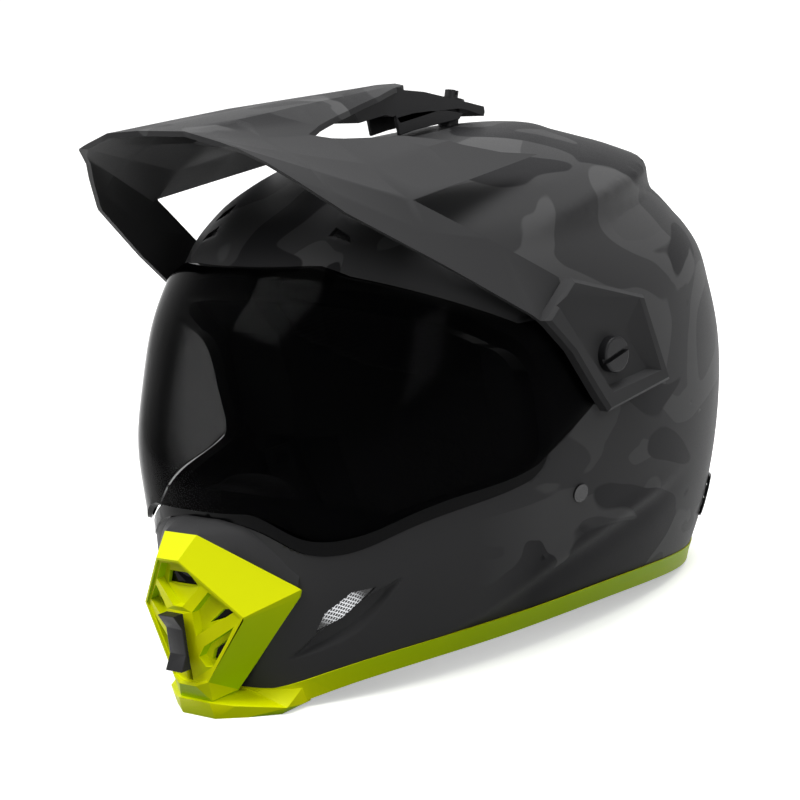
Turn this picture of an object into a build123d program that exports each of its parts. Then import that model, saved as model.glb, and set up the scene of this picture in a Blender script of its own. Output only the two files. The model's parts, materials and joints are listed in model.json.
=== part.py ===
from build123d import *
import os
from functools import lru_cache
from math import atan2, cos, degrees, exp, hypot, log1p, pi, radians, sin

# A dual sport motorcycle helmet: a full-face shell with a hinged shield, a peak
# that tilts about the side screws, a sliding chin vent and the liners inside.
# Millimetres, +Z up, standing on the base trim, the wearer looking along -Y.

# Driving sizes of the helmet body
HALF_WIDTH = 129.0
FRONT_REACH = 205.0
REAR_REACH = 178.0
SHELL_HEIGHT = 271.0
CHIN_FLAT = 181.0
CHIN_SOFTNESS = 10.0
SHELL_WALL = 4.0
FIT_GAP = 0.3
OVERRUN = 12.0
RING_STEPS = 28

# Closed sections of the body from the base to the crown, chosen by hand:
# height, half width, centre offset, front reach and rear reach as shares of
# SHELL_HEIGHT, HALF_WIDTH, HALF_WIDTH, FRONT_REACH and REAR_REACH, then the
# roundness of the front and of the rear half (2 is an ellipse).
BODY_SHARES = [
    (0.000, 0.698, 0.124, 1.000, 0.787, 2.0, 2.4),
    (0.111, 0.814, 0.101, 0.995, 0.860, 2.0, 2.4),
    (0.221, 0.899, 0.078, 0.980, 0.921, 2.0, 2.4),
    (0.351, 0.961, 0.062, 0.941, 0.972, 2.0, 2.4),
    (0.480, 0.992, 0.047, 0.898, 1.000, 2.1, 2.4),
    (0.590, 1.000, 0.047, 0.824, 1.000, 2.2, 2.3),
    (0.701, 0.984, 0.047, 0.751, 0.966, 2.2, 2.3),
    (0.793, 0.930, 0.062, 0.668, 0.876, 2.2, 2.2),
    (0.867, 0.837, 0.078, 0.595, 0.753, 2.2, 2.1),
    (0.923, 0.698, 0.093, 0.512, 0.607, 2.1, 2.0),
    (0.959, 0.543, 0.109, 0.420, 0.483, 2.0, 2.0),
    (0.985, 0.372, 0.124, 0.293, 0.360, 2.0, 2.0),
    (1.000, 0.140, 0.155, 0.098, 0.146, 2.0, 2.0),
]

# The ridge round the rear: the crown over a slanting line in side view stands
# back by RIDGE_SHIFT. The line's ends are shares of REAR_REACH and SHELL_HEIGHT.
RIDGE_SHIFT = 7.5
RIDGE_SINK = 1.0
RIDGE_SHARES = [(-0.22, 0.819), (1.12, 0.886), (1.12, 1.11), (-0.22, 1.11)]

# The head space inside the pads
HEAD_HALF_WIDTH = 78.0
HEAD_FRONT = 100.0
HEAD_REAR = 106.0
HEAD_TOP = 238.0
HEAD_OFFSET = 8.0
HEAD_SHARES = [
    (0.00, 0.85, 0.80, 0.83),
    (0.21, 0.90, 0.92, 0.89),
    (0.42, 0.95, 0.98, 0.94),
    (0.63, 1.00, 1.00, 1.00),
    (0.80, 0.97, 0.94, 0.94),
    (0.90, 0.80, 0.76, 0.78),
    (0.965, 0.52, 0.50, 0.53),
    (1.00, 0.16, 0.16, 0.17),
]
PAD_THICKNESS = 7.0
SLIP_THICKNESS = 0.8

# The pivot axis of shield and peak, along X
PIVOT_HEIGHT = 154.5
PLATE_RADIUS = 19.0
BOSS_RADIUS = 9.0
RUNNING_GAP = 0.25
SCREW_RADIUS = 3.0
SCREW_CLEARANCE = 0.08
INSERT_RADIUS = 6.0
INSERT_DEPTH = 9.0

# The shield
SHIELD_THICKNESS = 2.2
SHIELD_GAP = 1.6
SHIELD_END_RADIUS = 27.0
SHIELD_END_ANGLES = (65, 75)

# The foot of the shell and its trim: heights of the trim's lower edge as shares
# of FOOT_RISE at places along the body as shares of FRONT_REACH
FOOT_RISE = 12.5
TRIM_HEIGHT = 11.5
TRIM_COVER = 1.8
TRIM_SINK = 4.5
FOOT_SHARES = [
    (-0.84, 0.0),
    (-0.76, 0.45),
    (-0.60, 0.85),
    (-0.30, 1.0),
    (0.05, 0.95),
    (0.33, 0.62),
    (0.56, 0.18),
    (0.70, 0.0),
]

# The eyeport: its outline in side view as shares of EYEPORT_REACH and
# EYEPORT_HEIGHT, measured from the pivot axis
EYEPORT_REACH = 181.0
EYEPORT_HEIGHT = 74.0
EYEPORT_LOW_SHARES = [
    (-0.975, -0.72),
    (-0.935, -0.84),
    (-0.895, -0.96),
    (-0.83, -1.0),
    (-0.68, -0.91),
    (-0.54, -0.84),
    (-0.39, -0.80),
    (-0.30, -0.76),
]
EYEPORT_CORNER_SHARES = [(-0.235, -0.62), (-0.225, -0.40), (-0.26, 0.10)]
EYEPORT_HIGH_SHARES = [(-0.36, 0.36), (-0.55, 0.66), (-0.68, 0.80)]
EYEPORT_BROW_SHARE = 0.86
EYEPORT_FRONT_SHARE = 1.3
GASKET_WIDTH = 7.5
GASKET_PROUD = 0.8
GASKET_DEPTH = 9.0

# The shield's outline in side view, from the pivot axis, as shares of the same
SHIELD_LOW_SHARES = [
    (-0.965, -0.66),
    (-0.935, -0.73),
    (-0.895, -0.84),
    (-0.83, -0.885),
    (-0.68, -0.80),
    (-0.54, -0.73),
    (-0.39, -0.70),
    (-0.28, -0.64),
]
SHIELD_HIGH_SHARES = [(-0.30, 0.37), (-0.46, 0.60), (-0.57, 0.76), (-0.63, 0.85)]
SHIELD_BROW_SHARE = 0.93

# The peak
PEAK_WALL = 2.8
PEAK_LENGTH = 180.5
PEAK_HALF_WIDTH = 101.0
PEAK_CREST = 304.0
PEAK_DROP = 50.0
ARM_OUTER = 141.0
ARM_INNER = 133.5
ARM_FLOOR = 135.9
ARM_CORNER_DROP = 28.5

# Half profiles of the peak at stations along its length, as shares: the
# station of PEAK_LENGTH, then for the crest, the top edge, the foot of the
# raised panel, the middle of the wing, the crease, and the middle and lower edge
# of the flank a width share of PEAK_HALF_WIDTH and a drop share of PEAK_DROP
# below PEAK_CREST.
PEAK_SHARES = [
    (-1.07, (0.0, 0.0), (0.30, 0.02), (0.44, 0.10), (0.47, 0.109), (0.50, 0.12), (0.56, 0.20), (0.62, 0.32)),
    (-0.953, (0.0, 0.0), (0.30, 0.03), (0.45, 0.11), (0.53, 0.155), (0.605, 0.205), (0.67, 0.34), (0.74, 0.52)),
    (-0.776, (0.0, 0.0), (0.29, 0.03), (0.45, 0.22), (0.62, 0.37), (0.775, 0.545), (0.88, 0.76), (0.99, 1.08)),
    (-0.537, (0.0, 0.01), (0.26, 0.03), (0.47, 0.34), (0.75, 0.645), (1.0, 1.0), (1.09, 1.33), (1.21, 1.80)),
    (-0.305, (0.0, 0.03), (0.19, 0.05), (0.475, 0.34), (0.76, 0.60), (0.993, 0.96), (1.18, 1.58), (1.345, 2.36)),
    (-0.066, (0.0, 0.05), (0.10, 0.07), (0.475, 0.31), (0.76, 0.575), (0.977, 0.91), (1.33, 2.02), (1.38, 3.10)),
    (0.078, (0.0, 0.10), (0.05, 0.12), (0.475, 0.29), (0.76, 0.56), (0.965, 0.88), (1.34, 1.98), (1.38, 3.20)),
]
# Side view of the flank's lower edge and of the arm, from the pivot axis, as
# shares of PEAK_LENGTH along and of ARM_CORNER_DROP up
FLANK_EDGE_SHARES = [
    (-0.960, 4.90),
    (-0.898, 4.56),
    (-0.765, 3.53),
    (-0.537, 2.34),
    (-0.277, 1.00),
]
ARM_SHARES = [
    (-0.277, 1.00),
    (-0.180, 0.30),
    (-0.094, -0.62),
    (-0.055, -1.00),
    (0.233, -0.80),
    (0.155, 0.91),
    (-0.147, 1.61),
]
ARM_GAP_SHARES = [(-0.527, 3.47), (-0.147, 1.61), (0.155, 0.91), (0.30, 0.91), (0.30, 3.69), (0.022, 3.69)]
ARM_RIM_SHARES = [(-0.250, 1.44), (0.127, 0.915), (0.190, -0.57), (-0.036, -0.665)]
ARM_FLOOR_SHARES = [(-0.170, 0.68), (0.072, 0.35), (0.150, -0.50), (-0.026, -0.56)]
# Plan view of half the notch between tail and wing, as shares of PEAK_HALF_WIDTH
# across and PEAK_LENGTH along
NOTCH_SHARES = [
    (0.0, 0.20), (0.0, 0.015), (0.08, 0.005), (0.22, -0.18), (0.32, -0.36), (0.40, -0.53), (0.45, -0.60),
    (0.52, -0.50), (0.62, -0.32), (0.80, -0.19), (0.90, -0.09), (0.965, 0.022), (1.40, 0.06), (1.40, 0.20),
]
FRONT_EDGE_SHARES = [(0.60, 0.961), (0.80, 0.945)]

# The bracket that joins the peak's tail to the crown
SEAT_RADIUS = 131.6
SEAT_ANGLE = 19.0
BRACKET_THICKNESS = 2.4
BRACKET_HALF_WIDTH = 12.0
SLOT_SWING = 4.2
TOP_BOSS_RADIUS = 5.6
KNOB_RADIUS = 9.6
KNOB_HEIGHT = 5.4
KNOB_GROOVE = 2.6

HEAD_GAP = 0.15
KNOB_TURN = 12.0
BOSS_FOOT = 112.0
ARM_BEVEL = 2.0
ARM_ROOM = 60.0
STRIP_ANGLES = (-6.0, 5.0, 16.0, 25.8)
# Side view of the bracket: angle in degrees behind the vertical, and distance
# from the pivot axis as a share of SEAT_RADIUS
FLANGE_SHARES = [(-7.5, 1.075), (-3.0, 1.092), (5.0, 1.062), (19.0, 1.034), (25.2, 1.040), (25.8, 1.020),
                 (18.5, 1.006), (10.0, 0.982), (-4.0, 0.955)]
BLOCK_SHARES = [(-17.3, 1.150), (-2.0, 1.099), (2.0, 1.020), (-6.0, 0.990), (-8.5, 1.010), (-17.0, 1.035)]

# The chin vent housing, front view widths and heights above the base
CHIN_TOP = 98.5
CHIN_NOSE = 204.5
CHIN_TOP_HALF = 15.0
CHIN_BAND_HEIGHT = 86.5
CHIN_BAND_HALF = 8.5
CHIN_WING_HALF = 57.0
CHIN_WING_HEIGHT = 65.0
CHIN_WING_REACH = 166.0
CHIN_CORNER_HALF = 36.0
CHIN_CORNER_HEIGHT = 55.0
CHIN_CORNER_REACH = 188.5
CHIN_FOOT_HALF = 11.0
CHIN_FOOT_HEIGHT = 9.5
CHIN_TOE_REACH = 200.0
CHIN_TOE_HEIGHT = 17.0
CHIN_RIM = 2.6
CHIN_RECESS = 3.0
POCKET_DEPTH = 9.0

CHIN_TOP_REACH = 194.5
CAVITY_HALF = 19.0
CAVITY_DEPTH = 4.6
MESH_RIM_SHARE = 0.92
PORT_MIDDLE = 40.0
STEM_HALF = 1.6
SHUTTER_HALF = 17.0
# Pockets and slots in the housing's face in front view, as shares of
# CHIN_WING_HALF across and CHIN_TOP up
POCKET_SHARES = [
    [(0.053, 0.528), (0.368, 0.685), (0.596, 0.584), (0.070, 0.437)],
    [(0.474, 0.437), (0.149, 0.340), (0.132, 0.279), (0.237, 0.269)],
]
HEX_POCKET_SHARES = [(0.123, 0.863), (0.325, 0.746), (0.009, 0.614)]
VENT_SLOT_SHARES = [
    [(0.140, 0.513), (0.447, 0.599), (0.386, 0.614), (0.211, 0.563)],
    [(0.175, 0.289), (0.254, 0.284), (0.377, 0.376)],
    [(0.0, 0.772), (0.132, 0.772), (0.237, 0.736), (0.123, 0.731), (0.0, 0.746)],
]

# The sliding vent lever
LEVER_THICKNESS = 2.2
LEVER_HALF_WIDTH = 6.4
LEVER_TOP = 58.0
LEVER_LENGTH = 30.0
LEVER_TRAVEL = 7.0
LEVER_REACH = 205.5
EAR_HEIGHT = 4.5
EAR_LENGTH = 8.0

# Vents in the side of the chin bar and in the rear, in side view, as shares of
# FRONT_REACH or REAR_REACH along and SHELL_HEIGHT up
SIDE_VENT_SHARES = [(-0.783, 0.151), (-0.766, 0.188), (-0.712, 0.221), (-0.659, 0.223), (-0.727, 0.173)]
REAR_VENT_SHARES = [(0.663, 0.114), (0.730, 0.188), (0.865, 0.173), (0.910, 0.125), (0.820, 0.100)]
REAR_SLOT_SHARES = [
    [(0.713, 0.155), (0.843, 0.164), (0.854, 0.153), (0.725, 0.142)],
    [(0.702, 0.129), (0.865, 0.140), (0.865, 0.129), (0.730, 0.116)],
]
MESH_THICKNESS = 0.8
MESH_SINK = 1.4

# Two slots in the brow on each side, in front view, their place as shares of
# HALF_WIDTH and SHELL_HEIGHT
BROW_SLOT_WIDTH = 14.0
BROW_SLOT_HEIGHT = 4.5
BROW_SLOT_SHARES = (0.341, 0.886)

# Straps: the rivet's place on the shell's side as shares of HALF_WIDTH,
# FRONT_REACH and SHELL_HEIGHT, and the lean of its axis
RIVET_RADIUS = 5.0
RIVET_SHANK = 2.5
RIVET_HEAD = 1.4
RIVET_SHARES = (0.9318, -0.0902, 0.3063)
RIVET_DROP = 12.4
RIVET_YAW = 4.9
RIVET_GRIP = 8.2
WASHER_THICKNESS = 1.0
STRAP_WIDTH = 20.0
STRAP_THICKNESS = 1.6
# Outer face of a strap in front view, from its top end down to its loop, the
# free end of the long strap and the middle of the rings' bars, as shares of
# HALF_WIDTH and SHELL_HEIGHT
STRAP_SHARES = [(0.899, 0.3395), (0.865, 0.2657), (0.6915, 0.1255)]
STRAP_TAIL_SHARES = [(0.663, 0.0886), (0.632, 0.0517)]
RING_SHARES = (0.6775, 0.1181)
RING_WIRE = 1.3
RING_RADIUS = 11.7
RING_PITCH = 3.2
LOOP_WALL = 1.2

# Cheek pads: half sizes in side view, the centre as shares of FRONT_REACH and
# SHELL_HEIGHT, then places across as shares of HALF_WIDTH, each with the share
# of the outline's size there
CHEEK_LENGTH = 48.0
CHEEK_HEIGHT = 32.0
CHEEK_CENTRE_SHARES = (-0.395, 0.212)
CHEEK_SECTION_SHARES = [(0.915, 0.92), (0.775, 1.0), (0.636, 0.96), (0.550, 0.80), (0.512, 0.50)]
CHEEK_ROUNDNESS = 3.0

# Neck roll: its line is a ring of the body drawn in, at one height
ROLL_HEIGHT = 22.0
ROLL_DRAW = 22.5
ROLL_RADIAL = 10.0
ROLL_VERTICAL = 10.0
ROLL_START = 92.0
ROLL_END_SHARE = 0.6
ROLL_STEPS = 12

# Chin bar liner and breath guard in side view, then the openings of the
# liners, as shares of FRONT_REACH along and SHELL_HEIGHT up
CHIN_LINER_THICKNESS = 14.0
CHIN_LINER_SHARES = [(-0.976, 0.094), (-0.976, 0.286), (-0.688, 0.286), (-0.688, 0.094)]
GUARD_THICKNESS = 2.6
GUARD_SHARES = [(-0.976, 0.2915), (-0.976, 0.4465), (-0.868, 0.4354), (-0.595, 0.358), (-0.595, 0.2915)]
LINER_CUT_SHARES = [
    (-1.22, 0.8155), (-0.605, 0.8155), (-0.488, 0.7675), (-0.302, 0.690), (-0.183, 0.609), (-0.1634, 0.384),
    (0.0, 0.354), (0.049, 0.119), (1.22, 0.119), (1.22, -0.22), (-1.22, -0.22),
]
SLIP_CUT_SHARES = [
    (-1.22, 0.8155), (-0.390, 0.8155), (-0.244, 0.738), (-0.098, 0.609), (0.098, 0.517), (0.439, 0.406),
    (1.22, 0.406), (1.22, -0.22), (-1.22, -0.22),
]
CROWN_CUT_SHARES = [
    (-1.22, 0.790), (-0.410, 0.790), (-0.273, 0.723), (-0.117, 0.583), (0.098, 0.487), (0.439, 0.376),
    (1.22, 0.376), (1.22, -0.22), (-1.22, -0.22),
]
# The opening behind the chin vent in front view, and the chin lip of the trim
# as corners in shares of LIP_SIDE, LIP_REACH and LIP_TOP
CHIN_PORT = [(CHIN_CORNER_HALF / 2, CHIN_CORNER_HEIGHT + EAR_LENGTH), (LEVER_HALF_WIDTH, LEVER_TOP - LEVER_LENGTH)]
LIP_TOP = 9.2
LIP_REACH = 199.5
LIP_SIDE = 46.0
LIP_SHARES = [
    (0.26, -1.0, 1.0), (0.52, -0.965, 1.0), (1.0, -0.885, 1.2), (1.0, -0.80, 1.2), (0.28, -0.99, 0.0),
    (0.60, -0.945, 0.0), (0.90, -0.885, 0.0), (1.0, -0.84, 0.3), (1.0, -0.80, 0.3),
]

# The row's origin lies midway between the lever's ears and the rear of the body
WIDEST = BODY_SHARES[4]
HEAD_AXIS_SHIFT = (LEVER_REACH + EAR_HEIGHT - REAR_REACH * WIDEST[4] - HALF_WIDTH * WIDEST[2]) / 2


def ring_points(row, grow, base_height=None):
    """Points round the body at one row of shares, grown outward by grow."""
    height, width, offset, front, rear, front_round, rear_round = row
    z = height * (SHELL_HEIGHT + grow) if base_height is None else base_height
    half = width * HALF_WIDTH + grow
    centre = offset * HALF_WIDTH
    points = []
    for step in range(RING_STEPS):
        angle = 2 * pi * step / RING_STEPS
        along, across = -cos(angle), sin(angle)
        ahead = along < 0
        reach = (front * FRONT_REACH if ahead else rear * REAR_REACH) + grow
        power = 2 / (front_round if ahead else rear_round)
        x = half * abs(across) ** power * (1 if across >= 0 else -1)
        y = centre + reach * abs(along) ** power * (-1 if ahead else 1)
        limit = -CHIN_FLAT - grow
        y = limit + CHIN_SOFTNESS * log1p(exp((y - limit) / CHIN_SOFTNESS))
        points.append((x, y, z))
    return points


def ring_loft(rings):
    """A smooth solid through closed rings of points."""
    return Solid.make_loft([Wire([Spline(*points, periodic=True)]) for points in rings])


@lru_cache(maxsize=None)
def body(grow=0.0):
    """The helmet body as a full solid, grown outward by grow."""
    rings = [ring_points(BODY_SHARES[0], grow, -OVERRUN)]
    rings += [ring_points(row, grow) for row in BODY_SHARES]
    return ring_loft(rings)


def head(grow=0.0):
    """The space that the head fills, grown outward by grow."""
    rings = []
    for height, width, front, rear in [HEAD_SHARES[0]] + HEAD_SHARES:
        z = height * (HEAD_TOP + grow) if rings else -OVERRUN
        points = []
        for step in range(RING_STEPS):
            angle = 2 * pi * step / RING_STEPS
            along, across = -cos(angle), sin(angle)
            reach = front * HEAD_FRONT if along < 0 else rear * HEAD_REAR
            x = (width * HEAD_HALF_WIDTH + grow) * across
            points.append((x, HEAD_OFFSET + (reach + grow) * along, z))
        rings.append(points)
    return ring_loft(rings)


def side_face(edges):
    """A face in the side plane from edges drawn as (y, z)."""
    return Plane.YZ * make_face(edges)


def side_prism(face, low, high):
    """The side-view face carried across from x = low to x = high."""
    return extrude(Pos(low, 0, 0) * face, high - low, dir=(1, 0, 0))


def side_polygon(points, low, high):
    return side_prism(side_face(Polyline(*points, close=True)), low, high)


def front_polygon(points, rear, front):
    """A polygon of (x, z) carried forward from y = -rear to y = -front."""
    face = Plane.XZ.offset(rear) * make_face(Polyline(*points, close=True))
    return extrude(face, front - rear, dir=(0, -1, 0))


def both_sides(solid):
    return solid, mirror(solid, Plane.YZ)


def mirrored(points):
    """Half an outline drawn for +x, joined to its mirror image."""
    return list(points) + [(-x, *rest) for x, *rest in reversed(points)]


def save(name, solid):
    """Write one node, with the row's origin midway between nose and rear."""
    moved = Pos(0, HEAD_AXIS_SHIFT, 0) * solid
    export_step(moved if isinstance(moved, Compound) else Compound(children=[moved]), f"parts/{name}.step")


def from_pivot(shares, reach, height):
    """Side-view points drawn from the pivot axis."""
    return [(along * reach, PIVOT_HEIGHT + up * height) for along, up in shares]


def in_side_view(shares, reach=FRONT_REACH):
    """Side-view points drawn from the floor under the pivot axis."""
    return [(along * reach, up * SHELL_HEIGHT) for along, up in shares]


def in_front_view(shares):
    """Front-view points drawn from the floor under the middle."""
    return [(across * HALF_WIDTH, up * SHELL_HEIGHT) for across, up in shares]


def on_chin(shares):
    """Front-view points on the chin vent housing."""
    return [(across * CHIN_WING_HALF, up * CHIN_TOP) for across, up in shares]


def foot_line(lift):
    """The trim's lower edge in side view, raised by lift."""
    return [(along * FRONT_REACH, up * FOOT_RISE + lift) for along, up in FOOT_SHARES]


def below_foot(lift):
    """Everything below the foot line raised by lift."""
    line = foot_line(lift)
    (front_y, front_z), (rear_y, rear_z) = line[0], line[-1]
    far = FRONT_REACH + OVERRUN
    edges = [
        Spline(*line),
        Line((rear_y, rear_z), (far, rear_z)),
        Line((far, rear_z), (far, -3 * OVERRUN)),
        Line((far, -3 * OVERRUN), (-far, -3 * OVERRUN)),
        Line((-far, -3 * OVERRUN), (-far, front_z)),
        Line((-far, front_z), (front_y, front_z)),
    ]
    reach = HALF_WIDTH + OVERRUN
    return side_prism(side_face(edges), -reach, reach)


def eyeport_prism(inset):
    """The eyeport's side-view outline, drawn in by inset, right across."""
    low = from_pivot(EYEPORT_LOW_SHARES, EYEPORT_REACH, EYEPORT_HEIGHT)
    corner = from_pivot(EYEPORT_CORNER_SHARES, EYEPORT_REACH, EYEPORT_HEIGHT)
    high = from_pivot(EYEPORT_HIGH_SHARES, EYEPORT_REACH, EYEPORT_HEIGHT)
    brow = PIVOT_HEIGHT + EYEPORT_BROW_SHARE * EYEPORT_HEIGHT
    front = -EYEPORT_FRONT_SHARE * EYEPORT_REACH
    low = [(y, z + inset) for y, z in low]
    corner = [(y - inset, z) for y, z in corner]
    high = [(y - inset / 2, z - inset) for y, z in high]
    brow -= inset
    edges = [
        Line((front, brow), (front, low[0][1])),
        Line((front, low[0][1]), low[0]),
        Spline(*low),
        Spline(low[-1], *corner, high[0]),
        Spline(*high),
        Line(high[-1], (high[-1][0] - SHELL_WALL, brow)),
        Line((high[-1][0] - SHELL_WALL, brow), (front, brow)),
    ]
    reach = ARM_OUTER + OVERRUN
    return side_prism(side_face(edges), -reach, reach)


def shield_prism():
    """The shield's side-view outline, with round ends about the pivot."""
    low = from_pivot(SHIELD_LOW_SHARES, EYEPORT_REACH, EYEPORT_HEIGHT)
    high = from_pivot(SHIELD_HIGH_SHARES, EYEPORT_REACH, EYEPORT_HEIGHT)
    brow = PIVOT_HEIGHT + SHIELD_BROW_SHARE * EYEPORT_HEIGHT
    front = -EYEPORT_FRONT_SHARE * EYEPORT_REACH
    down, up = [radians(angle) for angle in SHIELD_END_ANGLES]
    end_low = (SHIELD_END_RADIUS * -cos(down), PIVOT_HEIGHT - SHIELD_END_RADIUS * sin(down))
    end_high = (SHIELD_END_RADIUS * -cos(up), PIVOT_HEIGHT + SHIELD_END_RADIUS * sin(up))
    edges = [
        Line((front, brow), (front, low[0][1])),
        Line((front, low[0][1]), low[0]),
        Spline(*low),
        Line(low[-1], end_low),
        ThreePointArc(end_low, (SHIELD_END_RADIUS, PIVOT_HEIGHT), end_high),
        Line(end_high, high[0]),
        Spline(*high),
        Line(high[-1], (high[-1][0] - SHELL_WALL, brow)),
        Line((high[-1][0] - SHELL_WALL, brow), (front, brow)),
    ]
    reach = ARM_OUTER + OVERRUN
    return side_prism(side_face(edges), -reach, reach)


def across_cylinder(radius, low, high, y=0.0, z=PIVOT_HEIGHT):
    """A cylinder along X from x = low to x = high."""
    return Pos((low + high) / 2, y, z) * Rot(0, 90, 0) * Cylinder(radius, high - low)


def seat_point(radius, angle=SEAT_ANGLE):
    """A place in the symmetry plane at an angle behind the vertical."""
    return (0, radius * sin(radians(angle)), PIVOT_HEIGHT + radius * cos(radians(angle)))


def seat_cylinder(radius, low, high, angle=SEAT_ANGLE):
    """A cylinder along the crown screw's axis, between two pivot distances."""
    return Pos(*seat_point((low + high) / 2, angle)) * Rot(-angle, 0, 0) * Cylinder(radius, high - low)


def side_vent():
    """The opening through one side of the chin bar."""
    return side_polygon(in_side_view(SIDE_VENT_SHARES), HALF_WIDTH / 4, HALF_WIDTH)


def plan_polygon(points, base=0.0):
    """A polygon of (x, y) carried up from z = base."""
    return extrude(Pos(0, 0, base) * make_face(Polyline(*points, close=True)), 2 * SHELL_HEIGHT)


def plan_prism(shares):
    """The room behind the tail and inside one wing, in plan view."""
    points = [(x * PEAK_HALF_WIDTH, y * PEAK_LENGTH) for x, y in shares]
    return plan_polygon(points, PEAK_CREST - 1.3 * PEAK_DROP)


def polar_points(polar):
    return [seat_point(share * SEAT_RADIUS, angle)[1:] for angle, share in polar]


def peak_section(row):
    """One closed profile of the peak, its inner line PEAK_WALL inside the outer."""
    station, *half = row
    outline = [(w * PEAK_HALF_WIDTH, PEAK_CREST - drop * PEAK_DROP) for w, drop in half]
    line = [(-x, z) for x, z in reversed(outline[1:])] + outline
    inside = []
    for index, (x, z) in enumerate(line):
        before, after = line[max(index - 1, 0)], line[min(index + 1, len(line) - 1)]
        along_x, along_z = after[0] - before[0], after[1] - before[1]
        size = hypot(along_x, along_z)
        inside.append((x + PEAK_WALL * along_z / size, z - PEAK_WALL * along_x / size))
    points = line + inside[::-1]
    return Wire(Polyline(*[(x, station * PEAK_LENGTH, z) for x, z in points], close=True).edges())


def rivet_cylinder(radius, low, high):
    """A cylinder on the left rivet's axis, its ends measured out of the shell's side."""
    across, along, up = RIVET_SHARES
    place = Pos(across * HALF_WIDTH, along * FRONT_REACH, up * SHELL_HEIGHT)
    axis = place * Rot(0, 0, -RIVET_YAW) * Rot(0, 90 + RIVET_DROP, 0)
    return axis * Pos(0, 0, (low + high) / 2) * Cylinder(radius, high - low)


def oval_ring(centre, half_length, half_height, roundness):
    """Points of a rounded outline (y, z)."""
    points = []
    for step in range(RING_STEPS):
        angle = 2 * pi * step / RING_STEPS
        along, up = cos(angle), sin(angle)
        y = half_length * abs(along) ** (2 / roundness) * (1 if along > 0 else -1)
        z = half_height * abs(up) ** (2 / roundness) * (1 if up > 0 else -1)
        points.append((centre[0] + y, centre[1] + z))
    return points


def roll_point(turn):
    """A place on the neck roll's line, at an angle round from the front."""
    row = BODY_SHARES[1]
    across, along = sin(radians(turn)), -cos(radians(turn))
    power = 2 / row[6]
    half, rear = row[1] * HALF_WIDTH - ROLL_DRAW, row[4] * REAR_REACH - ROLL_DRAW
    x = half * abs(across) ** power * (1 if across > 0 else -1)
    return x, row[2] * HALF_WIDTH + rear * abs(along) ** power * (1 if along > 0 else -1)


def brow_slot():
    """Two slanted slots through one side of the brow."""
    x, z = in_front_view([BROW_SLOT_SHARES])[0]
    slots = []
    for step in (-1, 1):
        low, high = z + step * BROW_SLOT_HEIGHT, z + (step + 0.9) * BROW_SLOT_HEIGHT
        slots.append([(x, low), (x + BROW_SLOT_WIDTH, low - BROW_SLOT_HEIGHT),
                      (x + 0.8 * BROW_SLOT_WIDTH, high - BROW_SLOT_HEIGHT), (x + 0.1 * BROW_SLOT_WIDTH, high)])
    first, second = [front_polygon(points, HEAD_FRONT / 2, CHIN_FLAT) for points in slots]
    return first + second


os.makedirs("parts", exist_ok=True)

outer = body()
inner = body(-SHELL_WALL)
LINER_GROW = -SHELL_WALL - FIT_GAP
WIDE = ARM_OUTER + OVERRUN
SCREW_HOLE = SCREW_RADIUS + SCREW_CLEARANCE

# The rigid shell with its rear ridge, eyeport, vents and screw holes
crown_room = side_polygon(in_side_view(RIDGE_SHARES, REAR_REACH), -WIDE, WIDE)
shell = outer + (Pos(0, RIDGE_SHIFT, -RIDGE_SINK) * outer & crown_room)
shell = shell - inner - below_foot(TRIM_SINK) - eyeport_prism(0)
shell -= across_cylinder(SCREW_HOLE, -WIDE, WIDE)
shell -= seat_cylinder(TOP_BOSS_RADIUS + RUNNING_GAP, HEAD_TOP / 3, SEAT_RADIUS)
for vent in both_sides(side_vent()):
    shell -= vent
for port in both_sides(brow_slot()):
    shell -= port
for rivet in both_sides(rivet_cylinder(RIVET_SHANK + SCREW_CLEARANCE, -OVERRUN, OVERRUN)):
    shell -= rivet
shell -= front_polygon(mirrored(CHIN_PORT), CHIN_FLAT - OVERRUN, CHIN_FLAT + OVERRUN)
save("outer_shell", shell)

# The closed form of the chin vent housing
corner = (CHIN_CORNER_HALF, -CHIN_CORNER_REACH, CHIN_CORNER_HEIGHT)
hull = [
    (CHIN_TOP_HALF, -CHIN_TOP_REACH, CHIN_TOP),
    (CHIN_BAND_HALF, -CHIN_NOSE, CHIN_BAND_HEIGHT),
    corner,
    (CHIN_WING_HALF, -CHIN_WING_REACH, CHIN_WING_HEIGHT),
    (CHIN_FOOT_HALF, -CHIN_TOE_REACH, CHIN_TOE_HEIGHT),
    (CHIN_FOOT_HALF, -CHIN_FLAT, CHIN_FOOT_HEIGHT),
    (CHIN_FOOT_HALF, -CHIN_TOE_REACH + CHIN_RECESS, CHIN_FOOT_HEIGHT),
]
back = [(x, -CHIN_WING_REACH + OVERRUN, z) for x, y, z in hull]
chin_hull = ConvexPolyhedron(mirrored(hull + back))

# Edge trim: a channel round the shell's foot with a chin lip in front
slab = below_foot(TRIM_HEIGHT) - below_foot(0)
trim = ((body(TRIM_COVER) - body(-SHELL_WALL - TRIM_COVER)) & slab) - shell
lip_points = [(x * LIP_SIDE, y * LIP_REACH, z * LIP_TOP) for x, y, z in LIP_SHARES]
lip = ConvexPolyhedron(mirrored(lip_points)) - outer - chin_hull
trim = trim + (lip - body(TRIM_COVER / 2) + (lip & body(TRIM_COVER))) - chin_hull
save("base_trim", trim)

# Rubber gasket round the eyeport
gasket = (body(GASKET_PROUD) - body(-GASKET_DEPTH)) & (eyeport_prism(0) - eyeport_prism(GASKET_WIDTH))
save("eyeport_gasket", gasket)

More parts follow.
